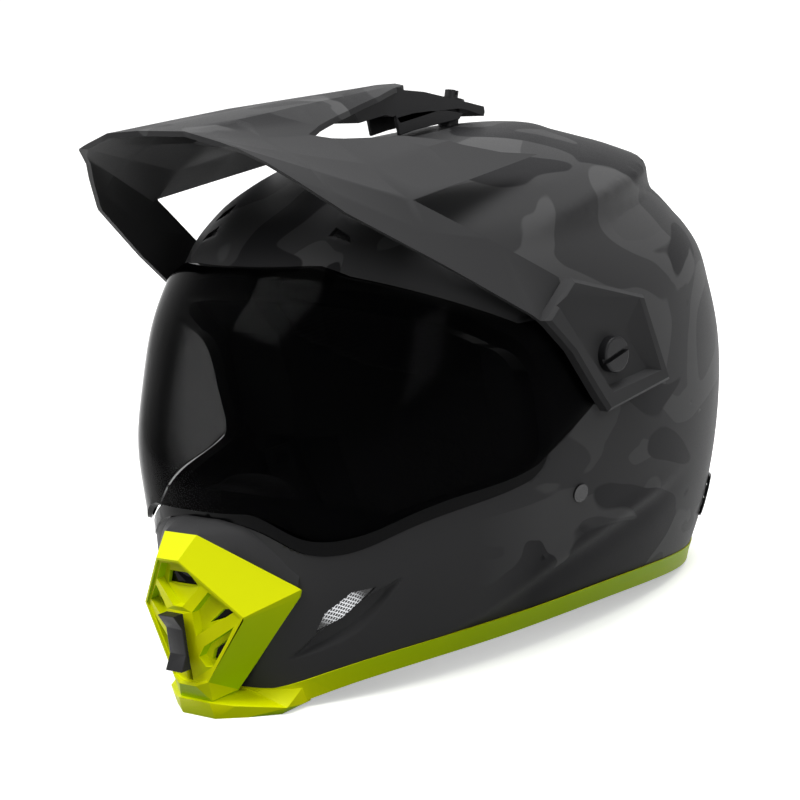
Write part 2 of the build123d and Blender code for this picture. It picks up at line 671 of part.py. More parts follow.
# Shield: a curved lens with flat round ends on the pivot bosses
DISC_INNER = HALF_WIDTH + SHIELD_GAP
DISC_OUTER = DISC_INNER + SHIELD_THICKNESS
lens = body(SHIELD_GAP + SHIELD_THICKNESS) & shield_prism()
for disc in both_sides(across_cylinder(SHIELD_END_RADIUS, DISC_INNER - 2 * SHIELD_THICKNESS, DISC_OUTER)):
    lens += disc
lens -= body(SHIELD_GAP)
plate_room = across_cylinder(PLATE_RADIUS + 2 * RUNNING_GAP, HALF_WIDTH / 2, DISC_INNER)
boss_hole = across_cylinder(BOSS_RADIUS + RUNNING_GAP, HALF_WIDTH / 2, WIDE)
for cut in both_sides(plate_room) + both_sides(boss_hole):
    lens -= cut
save("face_shield", lens)

# Pivot plates, threaded inserts and side screws
plate = across_cylinder(PLATE_RADIUS, HALF_WIDTH - SHELL_WALL, DISC_INNER - RUNNING_GAP)
plate += across_cylinder(BOSS_RADIUS, HALF_WIDTH - SHELL_WALL, DISC_OUTER + RUNNING_GAP)
plate = plate - outer - across_cylinder(SCREW_HOLE, 0, WIDE)
insert = across_cylinder(INSERT_RADIUS, HALF_WIDTH - SHELL_WALL - INSERT_DEPTH, HALF_WIDTH) & inner
insert -= across_cylinder(SCREW_HOLE, 0, WIDE)
knob = across_cylinder(KNOB_RADIUS, ARM_FLOOR + HEAD_GAP, ARM_FLOOR + HEAD_GAP + KNOB_HEIGHT)
knob = fillet(knob.faces().sort_by(Axis.X)[-1].edges(), KNOB_HEIGHT / 4)
groove = Pos(ARM_FLOOR + KNOB_HEIGHT, 0, PIVOT_HEIGHT) * Rot(KNOB_TURN, 0, 0) * Box(
    KNOB_HEIGHT, 3 * KNOB_RADIUS, KNOB_GROOVE)
shank_tip = HALF_WIDTH - SHELL_WALL - INSERT_DEPTH + RUNNING_GAP
knob = knob - groove + across_cylinder(SCREW_RADIUS, shank_tip, ARM_FLOOR + KNOB_HEIGHT / 2)
for side, parts in (("left", 0), ("right", 1)):
    save(f"pivot_plate_{side}", both_sides(plate)[parts])
    save(f"side_insert_{side}", both_sides(insert)[parts])
    save(f"side_screw_{side}", both_sides(knob)[parts])

# The crown's threaded boss and its screw
boss = seat_cylinder(TOP_BOSS_RADIUS, BOSS_FOOT, SEAT_RADIUS)
boss += seat_cylinder(1.6 * TOP_BOSS_RADIUS, BOSS_FOOT, SEAT_RADIUS) & inner
boss -= seat_cylinder(SCREW_HOLE, 0, 2 * SEAT_RADIUS)
save("top_insert", boss)
plate_top = SEAT_RADIUS + HEAD_GAP + BRACKET_THICKNESS
cap = seat_cylinder(0.8 * KNOB_RADIUS, plate_top + HEAD_GAP, plate_top + HEAD_GAP + 0.7 * KNOB_HEIGHT)
cap += seat_cylinder(0.4 * KNOB_RADIUS, plate_top + HEAD_GAP, plate_top + 1.6 * KNOB_HEIGHT)
cap -= Pos(*seat_point(plate_top + 1.6 * KNOB_HEIGHT)) * Rot(-SEAT_ANGLE, 0, 0) * Box(
    2 * KNOB_RADIUS, 0.6 * KNOB_GROOVE, KNOB_HEIGHT)
cap += seat_cylinder(SCREW_RADIUS, BOSS_FOOT + HEAD_GAP, plate_top + KNOB_HEIGHT / 2)
save("top_screw", cap)

# The peak: a ruled arch of hand-set profiles, trimmed in side and plan view
peak = Solid.make_loft([peak_section(row) for row in PEAK_SHARES], True)
flank_edge = from_pivot(FLANK_EDGE_SHARES, PEAK_LENGTH, ARM_CORNER_DROP)
arm_edge = from_pivot(ARM_SHARES, PEAK_LENGTH, ARM_CORNER_DROP)
below = [(-2 * PEAK_LENGTH, flank_edge[0][1])] + flank_edge + arm_edge[1:4]
below += [(PEAK_LENGTH, arm_edge[3][1]), (PEAK_LENGTH, 0), (-2 * PEAK_LENGTH, 0)]
peak -= side_polygon(below, -WIDE, WIDE)
arm = side_polygon(arm_edge, ARM_INNER, ARM_OUTER)
arm = chamfer(arm.faces().sort_by(Axis.X)[-1].edges(), ARM_BEVEL)
for part in both_sides(arm):
    peak += part
gap = from_pivot(ARM_GAP_SHARES, PEAK_LENGTH, ARM_CORNER_DROP)
peak -= side_polygon(gap, -WIDE, WIDE)
rim = from_pivot(ARM_RIM_SHARES, PEAK_LENGTH, ARM_CORNER_DROP)
floor = from_pivot(ARM_FLOOR_SHARES, PEAK_LENGTH, ARM_CORNER_DROP)
dish = Solid.make_loft([
    Wire(Polyline(*[(ARM_FLOOR, y, z) for y, z in floor], close=True).edges()),
    Wire(Polyline(*[(ARM_OUTER + HEAD_GAP, y, z) for y, z in rim], close=True).edges()),
], True)
inside = Pos(0, ARM_ROOM - SHIELD_END_RADIUS, PIVOT_HEIGHT) * Box(2 * ARM_INNER, 2 * ARM_ROOM, 2 * ARM_ROOM)
for part in both_sides(dish):
    peak -= part
peak -= across_cylinder(SCREW_HOLE, -WIDE, WIDE)
peak -= inside
for notch in both_sides(plan_prism(NOTCH_SHARES)):
    peak -= notch
front_edge = [(0, -PEAK_LENGTH)] + [(x * PEAK_HALF_WIDTH, -y * PEAK_LENGTH) for x, y in FRONT_EDGE_SHARES]
ahead = front_edge + [(x, -2 * PEAK_LENGTH) for x in (WIDE, 0)]
for part in both_sides(plan_polygon(ahead)):
    peak -= part
save("peak_shell", peak)

# The bracket under the tail, curved about the pivot axis
strip = across_cylinder(SEAT_RADIUS + HEAD_GAP + BRACKET_THICKNESS, -BRACKET_HALF_WIDTH, BRACKET_HALF_WIDTH)
strip -= across_cylinder(SEAT_RADIUS + HEAD_GAP, -BRACKET_HALF_WIDTH, BRACKET_HALF_WIDTH)
strip &= side_polygon([(0, PIVOT_HEIGHT)] + [seat_point(2 * SEAT_RADIUS, a)[1:] for a in STRIP_ANGLES], -WIDE, WIDE)
slot_angles = (SEAT_ANGLE - SLOT_SWING, SEAT_ANGLE + SLOT_SWING)
slot_half = SCREW_RADIUS + HEAD_GAP
slot_wedge = [(0, PIVOT_HEIGHT)] + [seat_point(2 * SEAT_RADIUS, angle)[1:] for angle in slot_angles]
strip -= side_polygon(slot_wedge, -slot_half, slot_half)
for angle in slot_angles:
    strip -= seat_cylinder(slot_half, SEAT_RADIUS / 2, 2 * SEAT_RADIUS, angle)
flange = side_polygon(polar_points(FLANGE_SHARES), BRACKET_HALF_WIDTH - BRACKET_THICKNESS, BRACKET_HALF_WIDTH)
block = side_polygon(polar_points(BLOCK_SHARES), -BRACKET_HALF_WIDTH, BRACKET_HALF_WIDTH)
bracket = (strip + both_sides(flange)[0] + both_sides(flange)[1] + block) - peak
save("peak_bracket", bracket)

# Chin vent housing: a faceted cover on the front of the chin bar
housing = chin_hull - outer
face = [
    (CHIN_BAND_HALF, -CHIN_NOSE, CHIN_BAND_HEIGHT),
    corner,
    (CHIN_FOOT_HALF, -CHIN_TOE_REACH, CHIN_TOE_HEIGHT),
]


def face_solid(depth, rim):
    """The housing's folded front face as a solid, sunk by depth and drawn in by rim."""
    points = []
    for x, y, z in face:
        lift = rim if z < CHIN_CORNER_HEIGHT else -rim
        points.append((x - rim / 2, y, z + (0 if z == CHIN_CORNER_HEIGHT else lift)))
    front = [(x, y - CHIN_CORNER_REACH, z) for x, y, z in points]
    sunk = [(x, y + depth, z) for x, y, z in points]
    return ConvexPolyhedron(mirrored(front + sunk))


housing -= face_solid(CHIN_RECESS, CHIN_RIM)
deep = face_solid(CHIN_RECESS + POCKET_DEPTH, CHIN_RIM)
for pocket in POCKET_SHARES:
    solid = front_polygon(on_chin(pocket), CHIN_FLAT, CHIN_NOSE + OVERRUN) & deep
    for part in both_sides(solid):
        housing -= part
housing -= front_polygon(mirrored(on_chin(HEX_POCKET_SHARES)), CHIN_FLAT, CHIN_NOSE + OVERRUN) & deep
for slot in VENT_SLOT_SHARES:
    for part in both_sides(front_polygon(on_chin(slot), CHIN_FLAT - OVERRUN, CHIN_NOSE + OVERRUN)):
        housing -= part
lever_low = LEVER_TOP - LEVER_LENGTH
cavity_top, cavity_foot = LEVER_TOP + 2 * CHIN_RIM, lever_low - LEVER_TRAVEL - CHIN_RIM
cavity = front_polygon(mirrored([(CAVITY_HALF, cavity_top), (CAVITY_HALF / 2, cavity_foot)]),
                       CHIN_FLAT - OVERRUN, CHIN_FLAT + CAVITY_DEPTH)
housing -= cavity
stem_room = front_polygon(mirrored([(STEM_HALF + FIT_GAP, LEVER_TOP - CHIN_RIM), (STEM_HALF + FIT_GAP, cavity_foot)]),
                          CHIN_FLAT, CHIN_NOSE + OVERRUN)
housing -= stem_room
save("chin_vent_housing", housing)

# Filter mesh, then the shutter and the lever that slide together
mesh_half = CAVITY_HALF - FIT_GAP
mesh_outline = mirrored([(mesh_half, cavity_top - FIT_GAP), (mesh_half / 2, cavity_foot + FIT_GAP)])
mesh_front = CHIN_FLAT + FIT_GAP
mesh = front_polygon(mesh_outline, mesh_front - MESH_THICKNESS, mesh_front)
mesh += front_polygon(mesh_outline, mesh_front - 3 * MESH_THICKNESS, mesh_front) - front_polygon(
    [(x * MESH_RIM_SHARE, PORT_MIDDLE + (z - PORT_MIDDLE) * MESH_RIM_SHARE) for x, z in mesh_outline],
    mesh_front - OVERRUN, mesh_front)
mesh -= outer
save("chin_vent_mesh", mesh)
shutter_rear = mesh_front + 2 * FIT_GAP
shutter_front = CHIN_FLAT + CAVITY_DEPTH - FIT_GAP
shutter_top, shutter_foot = cavity_top - CHIN_RIM, cavity_foot + LEVER_TRAVEL + FIT_GAP
shutter = front_polygon(mirrored([(SHUTTER_HALF, shutter_top), (SHUTTER_HALF / 2, shutter_foot)]),
                        shutter_rear, shutter_front)
stem = front_polygon(mirrored([(STEM_HALF, LEVER_TOP - 2 * CHIN_RIM), (STEM_HALF, lever_low + CHIN_RIM)]),
                     shutter_front, LEVER_REACH - LEVER_THICKNESS)
save("chin_shutter", shutter + stem)
lever_back = LEVER_REACH - LEVER_THICKNESS
lever_outline = mirrored([(LEVER_HALF_WIDTH, LEVER_TOP), (LEVER_HALF_WIDTH, lever_low)])
lever = front_polygon(lever_outline, lever_back, LEVER_REACH)
waist = 0.6 * LEVER_HALF_WIDTH
for top in (LEVER_TOP, lever_low + EAR_LENGTH):
    foot = top - EAR_LENGTH
    tip = top if top == LEVER_TOP else foot
    lever += ConvexPolyhedron(mirrored([
        (LEVER_HALF_WIDTH, -LEVER_REACH, top), (LEVER_HALF_WIDTH, -LEVER_REACH, foot),
        (LEVER_HALF_WIDTH, -LEVER_REACH - EAR_HEIGHT, tip), (waist, -LEVER_REACH - EAR_HEIGHT, tip),
    ]))
save("chin_slider", lever)

# Mesh set into the side vents and brow slots
mesh_skin = body(-MESH_SINK) - body(-MESH_SINK - MESH_THICKNESS)
side_mesh = mesh_skin & side_vent()
brow_mesh = mesh_skin & brow_slot()
save("brow_vent_mesh", brow_mesh + mirror(brow_mesh, Plane.YZ))

# Exhaust covers on the rear
cover = (body(SHIELD_GAP) - body(FIT_GAP)) & side_polygon(in_side_view(REAR_VENT_SHARES, REAR_REACH), 0, WIDE)
for slot in REAR_SLOT_SHARES:
    cover -= side_polygon(in_side_view(slot, REAR_REACH), 0, WIDE)

# Straps, riveted to the shell's sides
strap_line, strap_tail = in_front_view(STRAP_SHARES), in_front_view(STRAP_TAIL_SHARES)
strap_y = RIVET_SHARES[1] * FRONT_REACH
strap_low, strap_high = -strap_y - STRAP_WIDTH / 2, -strap_y + STRAP_WIDTH / 2
ring_middle, ring_height = in_front_view([RING_SHARES])[0]


def strap(line):
    """A band whose outer face follows a line in front view, holed for the rivet."""
    inner_line = [(x - STRAP_THICKNESS, z) for x, z in line]
    band = front_polygon(line + inner_line[::-1], strap_low, strap_high)
    return band - rivet_cylinder(RIVET_SHANK + SCREW_CLEARANCE, -OVERRUN, OVERRUN)


def y_cylinder(radius, x, low, high):
    """A cylinder along Y at the rings' height."""
    return Pos(x, (low + high) / 2, ring_height) * Rot(90, 0, 0) * Cylinder(radius, high - low)


loop_radius = RING_WIRE + SCREW_CLEARANCE + LOOP_WALL
strap_left = strap(strap_line)
ring_x = [ring_middle + step * RING_PITCH / 2 for step in (-1, 1)]
for x in ring_x:
    strap_left += y_cylinder(loop_radius, x, -strap_high, -strap_low)
for x in ring_x:
    strap_left -= y_cylinder(RING_WIRE + SCREW_CLEARANCE, x, -WIDE, WIDE)
save("chin_strap_left", strap_left)
save("chin_strap_right", mirror(strap(strap_line + strap_tail), Plane.YZ))
ring_arc = Rot(0, 90, 0) * Torus(RING_RADIUS, RING_WIRE)
ring_arc &= Pos(0, 0, -RING_RADIUS) * Box(2 * RING_RADIUS, 4 * RING_RADIUS, 2 * RING_RADIUS)
for name, x in (("d_ring_inner", ring_x[0]), ("d_ring_outer", ring_x[1])):
    ring = Pos(x, strap_y, ring_height) * ring_arc
    ring += y_cylinder(RING_WIRE, x, strap_y - RING_RADIUS, strap_y + RING_RADIUS)
    save(name, ring)
rivet = rivet_cylinder(RIVET_RADIUS, -WASHER_THICKNESS, RIVET_HEAD) - outer
rivet += rivet_cylinder(RIVET_SHANK, -RIVET_GRIP - WASHER_THICKNESS, RIVET_HEAD / 2)
rivet += rivet_cylinder(RIVET_RADIUS, -RIVET_GRIP - WASHER_THICKNESS, -RIVET_GRIP)
for side, place in (("left", 0), ("right", 1)):
    save(f"side_vent_mesh_{side}", both_sides(side_mesh)[place])
    save(f"rear_vent_{side}", both_sides(cover)[place])
    save(f"strap_rivet_{side}", both_sides(rivet)[place])

# Cheek pads, neck roll, chin bar liner and breath guard
liner_face = body(LINER_GROW)
sections = []
cheek_centre = in_side_view([CHEEK_CENTRE_SHARES])[0]
for across, share in CHEEK_SECTION_SHARES:
    oval = oval_ring(cheek_centre, share * CHEEK_LENGTH, share * CHEEK_HEIGHT, CHEEK_ROUNDNESS)
    sections.append([(across * HALF_WIDTH, y, z) for y, z in oval])
cheek = ring_loft(sections) & liner_face
save("cheek_pad_left", cheek)
save("cheek_pad_right", mirror(cheek, Plane.YZ))
sections = []
for step in range(ROLL_STEPS + 1):
    turn = ROLL_START + (360 - 2 * ROLL_START) * step / ROLL_STEPS
    size = ROLL_END_SHARE if step in (0, ROLL_STEPS) else 1.0
    (x, y), (x0, y0), (x1, y1) = roll_point(turn), roll_point(turn - 1), roll_point(turn + 1)
    across = Plane(origin=(x, y, ROLL_HEIGHT), x_dir=(0, 0, 1), z_dir=(x1 - x0, y1 - y0, 0))
    sections.append((across * Ellipse(size * ROLL_VERTICAL, size * ROLL_RADIAL)).wire())
save("neck_roll", Solid.make_loft(sections))
chin_liner = (liner_face - body(LINER_GROW - CHIN_LINER_THICKNESS)) & side_polygon(
    in_side_view(CHIN_LINER_SHARES), -WIDE, WIDE)
save("chin_bar_liner", chin_liner)
guard_outer = -GASKET_DEPTH - FIT_GAP
guard = (body(guard_outer) - body(guard_outer - GUARD_THICKNESS)) & side_polygon(
    in_side_view(GUARD_SHARES), -WIDE, WIDE)
save("breath_guard", guard)

# Impact liner, slip liner and pads
eps = body(LINER_GROW) - head(PAD_THICKNESS + SLIP_THICKNESS + FIT_GAP)
eps -= side_polygon(in_side_view(LINER_CUT_SHARES), -WIDE, WIDE)
room = across_cylinder(INSERT_RADIUS + FIT_GAP, HALF_WIDTH / 2, WIDE)
for part in both_sides(room):
    eps -= part
eps -= seat_cylinder(1.6 * TOP_BOSS_RADIUS + FIT_GAP, BOSS_FOOT - FIT_GAP, SEAT_RADIUS)
save("impact_liner", eps)
slip = (head(PAD_THICKNESS + SLIP_THICKNESS) - head(PAD_THICKNESS)) - side_polygon(
    in_side_view(SLIP_CUT_SHARES), -WIDE, WIDE)
save("slip_liner", slip)
crown = (head(PAD_THICKNESS - FIT_GAP) - head()) - side_polygon(in_side_view(CROWN_CUT_SHARES), -WIDE, WIDE)
save("crown_pad", crown)
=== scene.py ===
import json
import math

import bmesh
import bpy
import numpy as np
from mathutils import Matrix, Vector
from mathutils.geometry import tessellate_polygon


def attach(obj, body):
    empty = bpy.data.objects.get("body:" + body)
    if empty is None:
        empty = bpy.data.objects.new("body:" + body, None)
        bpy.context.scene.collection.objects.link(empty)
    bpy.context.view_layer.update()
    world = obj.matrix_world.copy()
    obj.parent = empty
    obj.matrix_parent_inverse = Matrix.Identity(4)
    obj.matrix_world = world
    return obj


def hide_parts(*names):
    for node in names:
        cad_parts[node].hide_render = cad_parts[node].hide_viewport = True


# Dual sport helmet, dressed on its CAD frame. Metres, +Z up, the wearer looks along -Y.
# The shell's surface, the chin vent and the bracket are worked out in millimetres, with
# y counted from the peak's pivot axis, which lies SHIFT behind the frame's middle.

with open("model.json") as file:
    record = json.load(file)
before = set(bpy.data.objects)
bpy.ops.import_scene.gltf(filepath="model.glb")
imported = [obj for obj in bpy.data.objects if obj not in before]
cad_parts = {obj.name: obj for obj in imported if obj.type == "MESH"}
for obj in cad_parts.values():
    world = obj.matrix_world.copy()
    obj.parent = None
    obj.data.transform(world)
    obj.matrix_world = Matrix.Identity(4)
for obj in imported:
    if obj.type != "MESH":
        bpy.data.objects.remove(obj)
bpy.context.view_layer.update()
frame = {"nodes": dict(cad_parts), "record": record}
NODES = frame["nodes"]
RECORD = frame["record"]
BODY_OF = {name: body for body, names in RECORD["behaviour"]["bodies"].items() for name in names}
SLOT_OF = {row["node"]: row["material_slot"] for row in RECORD["subparts"]}
MM = 1000
SHIFT = 12.97
PIVOT_Y = SHIFT / MM
scene = bpy.context.scene
scene.view_settings.view_transform = "Standard"

# Camera

CAMERA_AZIMUTH = 46.0
CAMERA_ELEVATION = 11.6
CAMERA_ROLL = -7.35
CAMERA_DISTANCE = 1.490
CAMERA_LENS = 121.4
CAMERA_SENSOR = 36.0
CAMERA_TARGET = Vector((0.0036, -0.0278 + PIVOT_Y, 0.1289))


def add_camera():
    azimuth = math.radians(CAMERA_AZIMUTH)
    elevation = math.radians(CAMERA_ELEVATION)
    roll = math.radians(CAMERA_ROLL)
    back = Vector((
        math.sin(azimuth) * math.cos(elevation),
        -math.cos(azimuth) * math.cos(elevation),
        math.sin(elevation),
    ))
    side = Vector((math.cos(azimuth), math.sin(azimuth), 0))
    up = back.cross(side)
    right = side * math.cos(roll) + up * math.sin(roll)
    top = up * math.cos(roll) - side * math.sin(roll)
    data = bpy.data.cameras.new("camera")
    data.lens = CAMERA_LENS
    data.sensor_width = CAMERA_SENSOR
    camera = bpy.data.objects.new("camera", data)
    scene.collection.objects.link(camera)
    turn = Matrix((right, top, back)).transposed().to_4x4()
    camera.matrix_world = Matrix.Translation(CAMERA_TARGET + back * CAMERA_DISTANCE) @ turn
    scene.camera = camera


# Node helpers


def new_material(name):
    material = bpy.data.materials.new(name)
    material.use_nodes = True
    tree = material.node_tree
    return material, tree, tree.nodes["Principled BSDF"]


def node(tree, kind, settings=None, **inputs):
    """Adds a shader node, sets its properties and sets or links its inputs.

    An input is named by its socket, or by its number, as in i0.
    """
    made = tree.nodes.new(kind)
    for key, value in (settings or {}).items():
        setattr(made, key, value)
    for key, value in inputs.items():
        numbered = key[0] == "i" and key[1:].isdigit()
        socket = made.inputs[int(key[1:]) if numbered else key.replace("_", " ")]
        if isinstance(value, bpy.types.NodeSocket):
            tree.links.new(value, socket)
        else:
            socket.default_value = value
    return made


def drive(tree, shader, **sources):
    """Links node outputs to the shader's sockets."""
    for key, source in sources.items():
        tree.links.new(source, shader.inputs[key.replace("_", " ")])


def set_finish(shader, **values):
    for key, value in values.items():
        shader.inputs[key.replace("_", " ")].default_value = value


def objects_at(tree, stretch=(1, 1, 1)):
    place = node(tree, "ShaderNodeTexCoord")
    mapping = node(tree, "ShaderNodeMapping", Vector=place.outputs["Object"], Scale=stretch)
    return mapping.outputs["Vector"]


def split(tree, vector):
    return node(tree, "ShaderNodeSeparateXYZ", Vector=vector).outputs


def noise(tree, where, size, detail, distortion=0.0):
    made = node(tree, "ShaderNodeTexNoise", Vector=where, Scale=size, Detail=detail, Distortion=distortion)
    return made.outputs["Fac"]


def ramp(tree, factor, stops):
    """A grey ramp through stops, each a place and a level."""
    made = node(tree, "ShaderNodeValToRGB", Fac=factor)
    while len(made.color_ramp.elements) < len(stops):
        made.color_ramp.elements.new(0.5)
    for element, (place, level) in zip(made.color_ramp.elements, stops):
        element.position = place
        element.color = (level, level, level, 1)
    return made.outputs["Color"]


def rise(tree, factor, start, end):
    """0 up to start and 1 from end on."""
    return ramp(tree, factor, [(start, 0.0), (end, 1.0)])


def mix(tree, factor, first, second):
    """From first to second by factor; each is a colour or an output."""
    ends = [value if isinstance(value, bpy.types.NodeSocket) else (*value, 1) for value in (first, second)]
    made = node(tree, "ShaderNodeMix", {"data_type": "RGBA"}, i0=factor, i6=ends[0], i7=ends[1])
    return made.outputs[2]


def bump(tree, shader, height, depth, strength):
    made = node(tree, "ShaderNodeBump", Height=height, Distance=depth, Strength=strength)
    drive(tree, shader, Normal=made.outputs["Normal"])


def math_node(tree, operation, first, second=0.0, third=0.5):
    return node(tree, "ShaderNodeMath", {"operation": operation}, i0=first, i1=second, i2=third).outputs[0]


def vector_node(tree, operation, first, second):
    made = node(tree, "ShaderNodeVectorMath", {"operation": operation}, i0=first, i1=second)
    return made.outputs["Vector"]


def dimmed(colour, share):
    return tuple(level * share for level in colour)


# Materials

# Noises are scale, detail and distortion; edges are where a blob starts and where it is full
CAMO_STRETCH = (1.0, 0.8, 1.25)
CAMO_GRAIN = (1800.0, 2.0)
DARK_BLOBS = (15.0, 1.4, 0.9)
DARK_EDGE = (0.505, 0.515)
LIGHT_BLOBS = (12.5, 1.6, 1.2)
LIGHT_EDGE = (0.530, 0.540)
LIGHT_OFFSET = (3.1, 1.7, 5.3)
# The shell's blobs show behind this y, which is raised because a ramp starts at 0, and
# over this height
REAR_RAISE = 0.5
REAR_EDGE = (0.43, 0.47)
HIGH_EDGE = (0.19, 0.215)
# Half the width of the peak's printed middle
PEAK_MIDDLE = (0.034, 0.040)

TONE_NOISE = (14.0, 3.0)
TONE_SPREAD = 0.12
GRAIN_DETAIL = 3.0
# Painted light on the fluorescent plastic: the noise's share in its tone, how far the facing is raised, and
# where the shaded colour turns to the lighted one
FLUORESCENT_TONE = 0.12
PAINTED_LIGHT_RAISE = 0.5
PAINTED_LIGHT_EDGE = (0.05, 0.50)

WIRE_TURN = 0.78
WIRE_LEAN = 0.4
WIRE_WAVES = 0.314
WIRE_EDGE = (0.62, 0.80)
# Painted light round a place on the mesh: the wires are bright up to the first distance and faint, as
# painted shade, from the second on
PAINTED_LIGHT_STOPS = [(0.007, 1.0), (0.0115, 0.03)]

WEAVE_WAVES = 0.157
WEAVE_SHADE = 0.45
BRUSH_STRETCH = (1, 1, 12)
BRUSH_SHADE = 0.85

LENS_DARK = (0.0002, 0.0002, 0.0003)
LENS_LIGHT = (0.0006, 0.0006, 0.0007)
# The lens lets a little light through where it is seen square on
LENS_ALPHA = [(0.47, 0.62), (0.62, 0.97)]


def camo_material(name, base, dark, light, centre_only=False):
    """Matte paint with soft-edged blobs of a darker and a lighter grey.

    They show on the shell's rear and crown, or on a peak along its middle only.
    """
    material, tree, shader = new_material(name)
    where = objects_at(tree, CAMO_STRETCH)
    elsewhere = node(tree, "ShaderNodeMapping", Vector=where, Location=LIGHT_OFFSET).outputs["Vector"]
    dark_mask = rise(tree, noise(tree, where, *DARK_BLOBS), *DARK_EDGE)
    light_mask = rise(tree, noise(tree, elsewhere, *LIGHT_BLOBS), *LIGHT_EDGE)
    place = split(tree, objects_at(tree))
    if centre_only:
        inner, outer = PEAK_MIDDLE
        shown = ramp(tree, math_node(tree, "ABSOLUTE", place["X"]), [(inner, 1.0), (outer, 0.0)])
    else:
        rear = rise(tree, math_node(tree, "ADD", place["Y"], REAR_RAISE), *REAR_EDGE)
        high = rise(tree, place["Z"], *HIGH_EDGE)
        shown = math_node(tree, "MAXIMUM", rear, high)
    colour = mix(tree, math_node(tree, "MULTIPLY", light_mask, shown), base, light)
    colour = mix(tree, math_node(tree, "MULTIPLY", dark_mask, shown), colour, dark)
    fine = noise(tree, objects_at(tree), *CAMO_GRAIN)
    drive(tree, shader, Base_Color=colour, Roughness=ramp(tree, fine, [(0.3, 0.44), (0.7, 0.56)]))
    bump(tree, shader, fine, 0.00004, 0.5)
    set_finish(shader, Specular_IOR_Level=0.06)
    return material


def grain_finish(tree, shader, where, rough, grain, depth):
    """The fine grain of moulded plastic, in its roughness and as a faint relief."""
    fine = noise(tree, where, grain, GRAIN_DETAIL)
    drive(tree, shader, Roughness=ramp(tree, fine, [(0.25, rough * 0.85), (0.75, rough * 1.15)]))
    bump(tree, shader, fine, depth, 0.6)


def paint_material(name, colour, rough, grain, depth, **finish):
    """Moulded or painted plastic with a fine grain and a little tone variation."""
    material, tree, shader = new_material(name)
    where = objects_at(tree)
    broad = noise(tree, where, *TONE_NOISE)
    drive(tree, shader, Base_Color=mix(tree, broad, dimmed(colour, 1 - TONE_SPREAD), colour))
    grain_finish(tree, shader, where, rough, grain, depth)
    set_finish(shader, **finish)
    return material


def fluorescent_painted_light_material(name, upward, sideways, rough, grain, depth):
    """Fluorescent moulded plastic with painted light: yellower where it faces up, as if in light, and
    greener, as painted shade, where it faces down.
    """
    material, tree, shader = new_material(name)
    where = objects_at(tree)
    # Painted light: the up-facing colour stands for plastic in light, the down-facing one for plastic in
    # shade
    facing = split(tree, node(tree, "ShaderNodeNewGeometry").outputs["Normal"])["Z"]
    broad = noise(tree, where, *TONE_NOISE)
    lifted = math_node(tree, "MULTIPLY_ADD", broad, FLUORESCENT_TONE, PAINTED_LIGHT_RAISE)
    lifted = math_node(tree, "ADD", lifted, facing)
    share = rise(tree, lifted, *PAINTED_LIGHT_EDGE)
    drive(tree, shader, Base_Color=mix(tree, share, sideways, upward))
    grain_finish(tree, shader, where, rough, grain, depth)
    set_finish(shader, Specular_IOR_Level=0.08)
    return material


def mesh_material(name, wire, hole, pitch, metallic, painted_light_spot=None):
    """Woven wire: two crossed waves, bright on the wires and dark in the holes.

    Given a place in y and z, light and shade are painted on: the wires near it are bright and metallic, and
    those farther off fade to painted shade.
    """
    material, tree, shader = new_material(name)
    where = objects_at(tree)
    waves = []
    for turn in (WIRE_TURN, -WIRE_TURN):
        turned = node(tree, "ShaderNodeMapping", Vector=where, Rotation=(turn, WIRE_LEAN, 0.0))
        wave = node(tree, "ShaderNodeTexWave", {"bands_direction": "Z"}, Vector=turned.outputs["Vector"],
                    Scale=WIRE_WAVES / pitch, Distortion=0.3)
        waves.append(wave.outputs["Fac"])
    web = rise(tree, math_node(tree, "MAXIMUM", *waves), *WIRE_EDGE)
    bright = web
    # Painted light: the wires fade from a painted pool of light round the place to painted shade
    if painted_light_spot:
        off = vector_node(tree, "SUBTRACT", where, (0, *painted_light_spot))
        off = vector_node(tree, "MULTIPLY", off, (0, 1, 1))
        far = node(tree, "ShaderNodeVectorMath", {"operation": "LENGTH"}, i0=off).outputs["Value"]
        bright = math_node(tree, "MULTIPLY", web, ramp(tree, far, PAINTED_LIGHT_STOPS))
    drive(tree, shader, Base_Color=mix(tree, bright, hole, wire),
          Metallic=math_node(tree, "MULTIPLY", bright, metallic))
    bump(tree, shader, web, 0.0004, 0.8)
    set_finish(shader, Roughness=0.35)
    return material


def cloth_material(name, colour, pitch, rough):
    """Knitted or woven cloth: fine crossed waves with fuzz."""
    material, tree, shader = new_material(name)
    where = objects_at(tree)
    waves = []
    for direction in ("X", "Y", "Z"):
        wave = node(tree, "ShaderNodeTexWave", {"bands_direction": direction}, Vector=where,
                    Scale=WEAVE_WAVES / pitch, Distortion=1.2, Detail=2.0)
        waves.append(wave.outputs["Fac"])
    weave = math_node(tree, "MULTIPLY", math_node(tree, "MAXIMUM", waves[0], waves[1]), waves[2])
    drive(tree, shader, Base_Color=mix(tree, weave, dimmed(colour, WEAVE_SHADE), colour))
    bump(tree, shader, weave, 0.0005, 0.7)
    set_finish(shader, Roughness=rough, Sheen_Weight=0.3, Sheen_Roughness=0.5)
    return material


def metal_material(name, colour, rough):
    """Brushed metal, with its streaks in tone, roughness and relief."""
    material, tree, shader = new_material(name)
    brushed = noise(tree, objects_at(tree, BRUSH_STRETCH), 400.0, 3.0)
    drive(tree, shader, Base_Color=mix(tree, brushed, dimmed(colour, BRUSH_SHADE), colour),
          Roughness=ramp(tree, brushed, [(0.2, rough * 0.7), (0.8, rough * 1.3)]))
    bump(tree, shader, brushed, 0.00005, 0.5)
    set_finish(shader, Metallic=1.0)
    return material


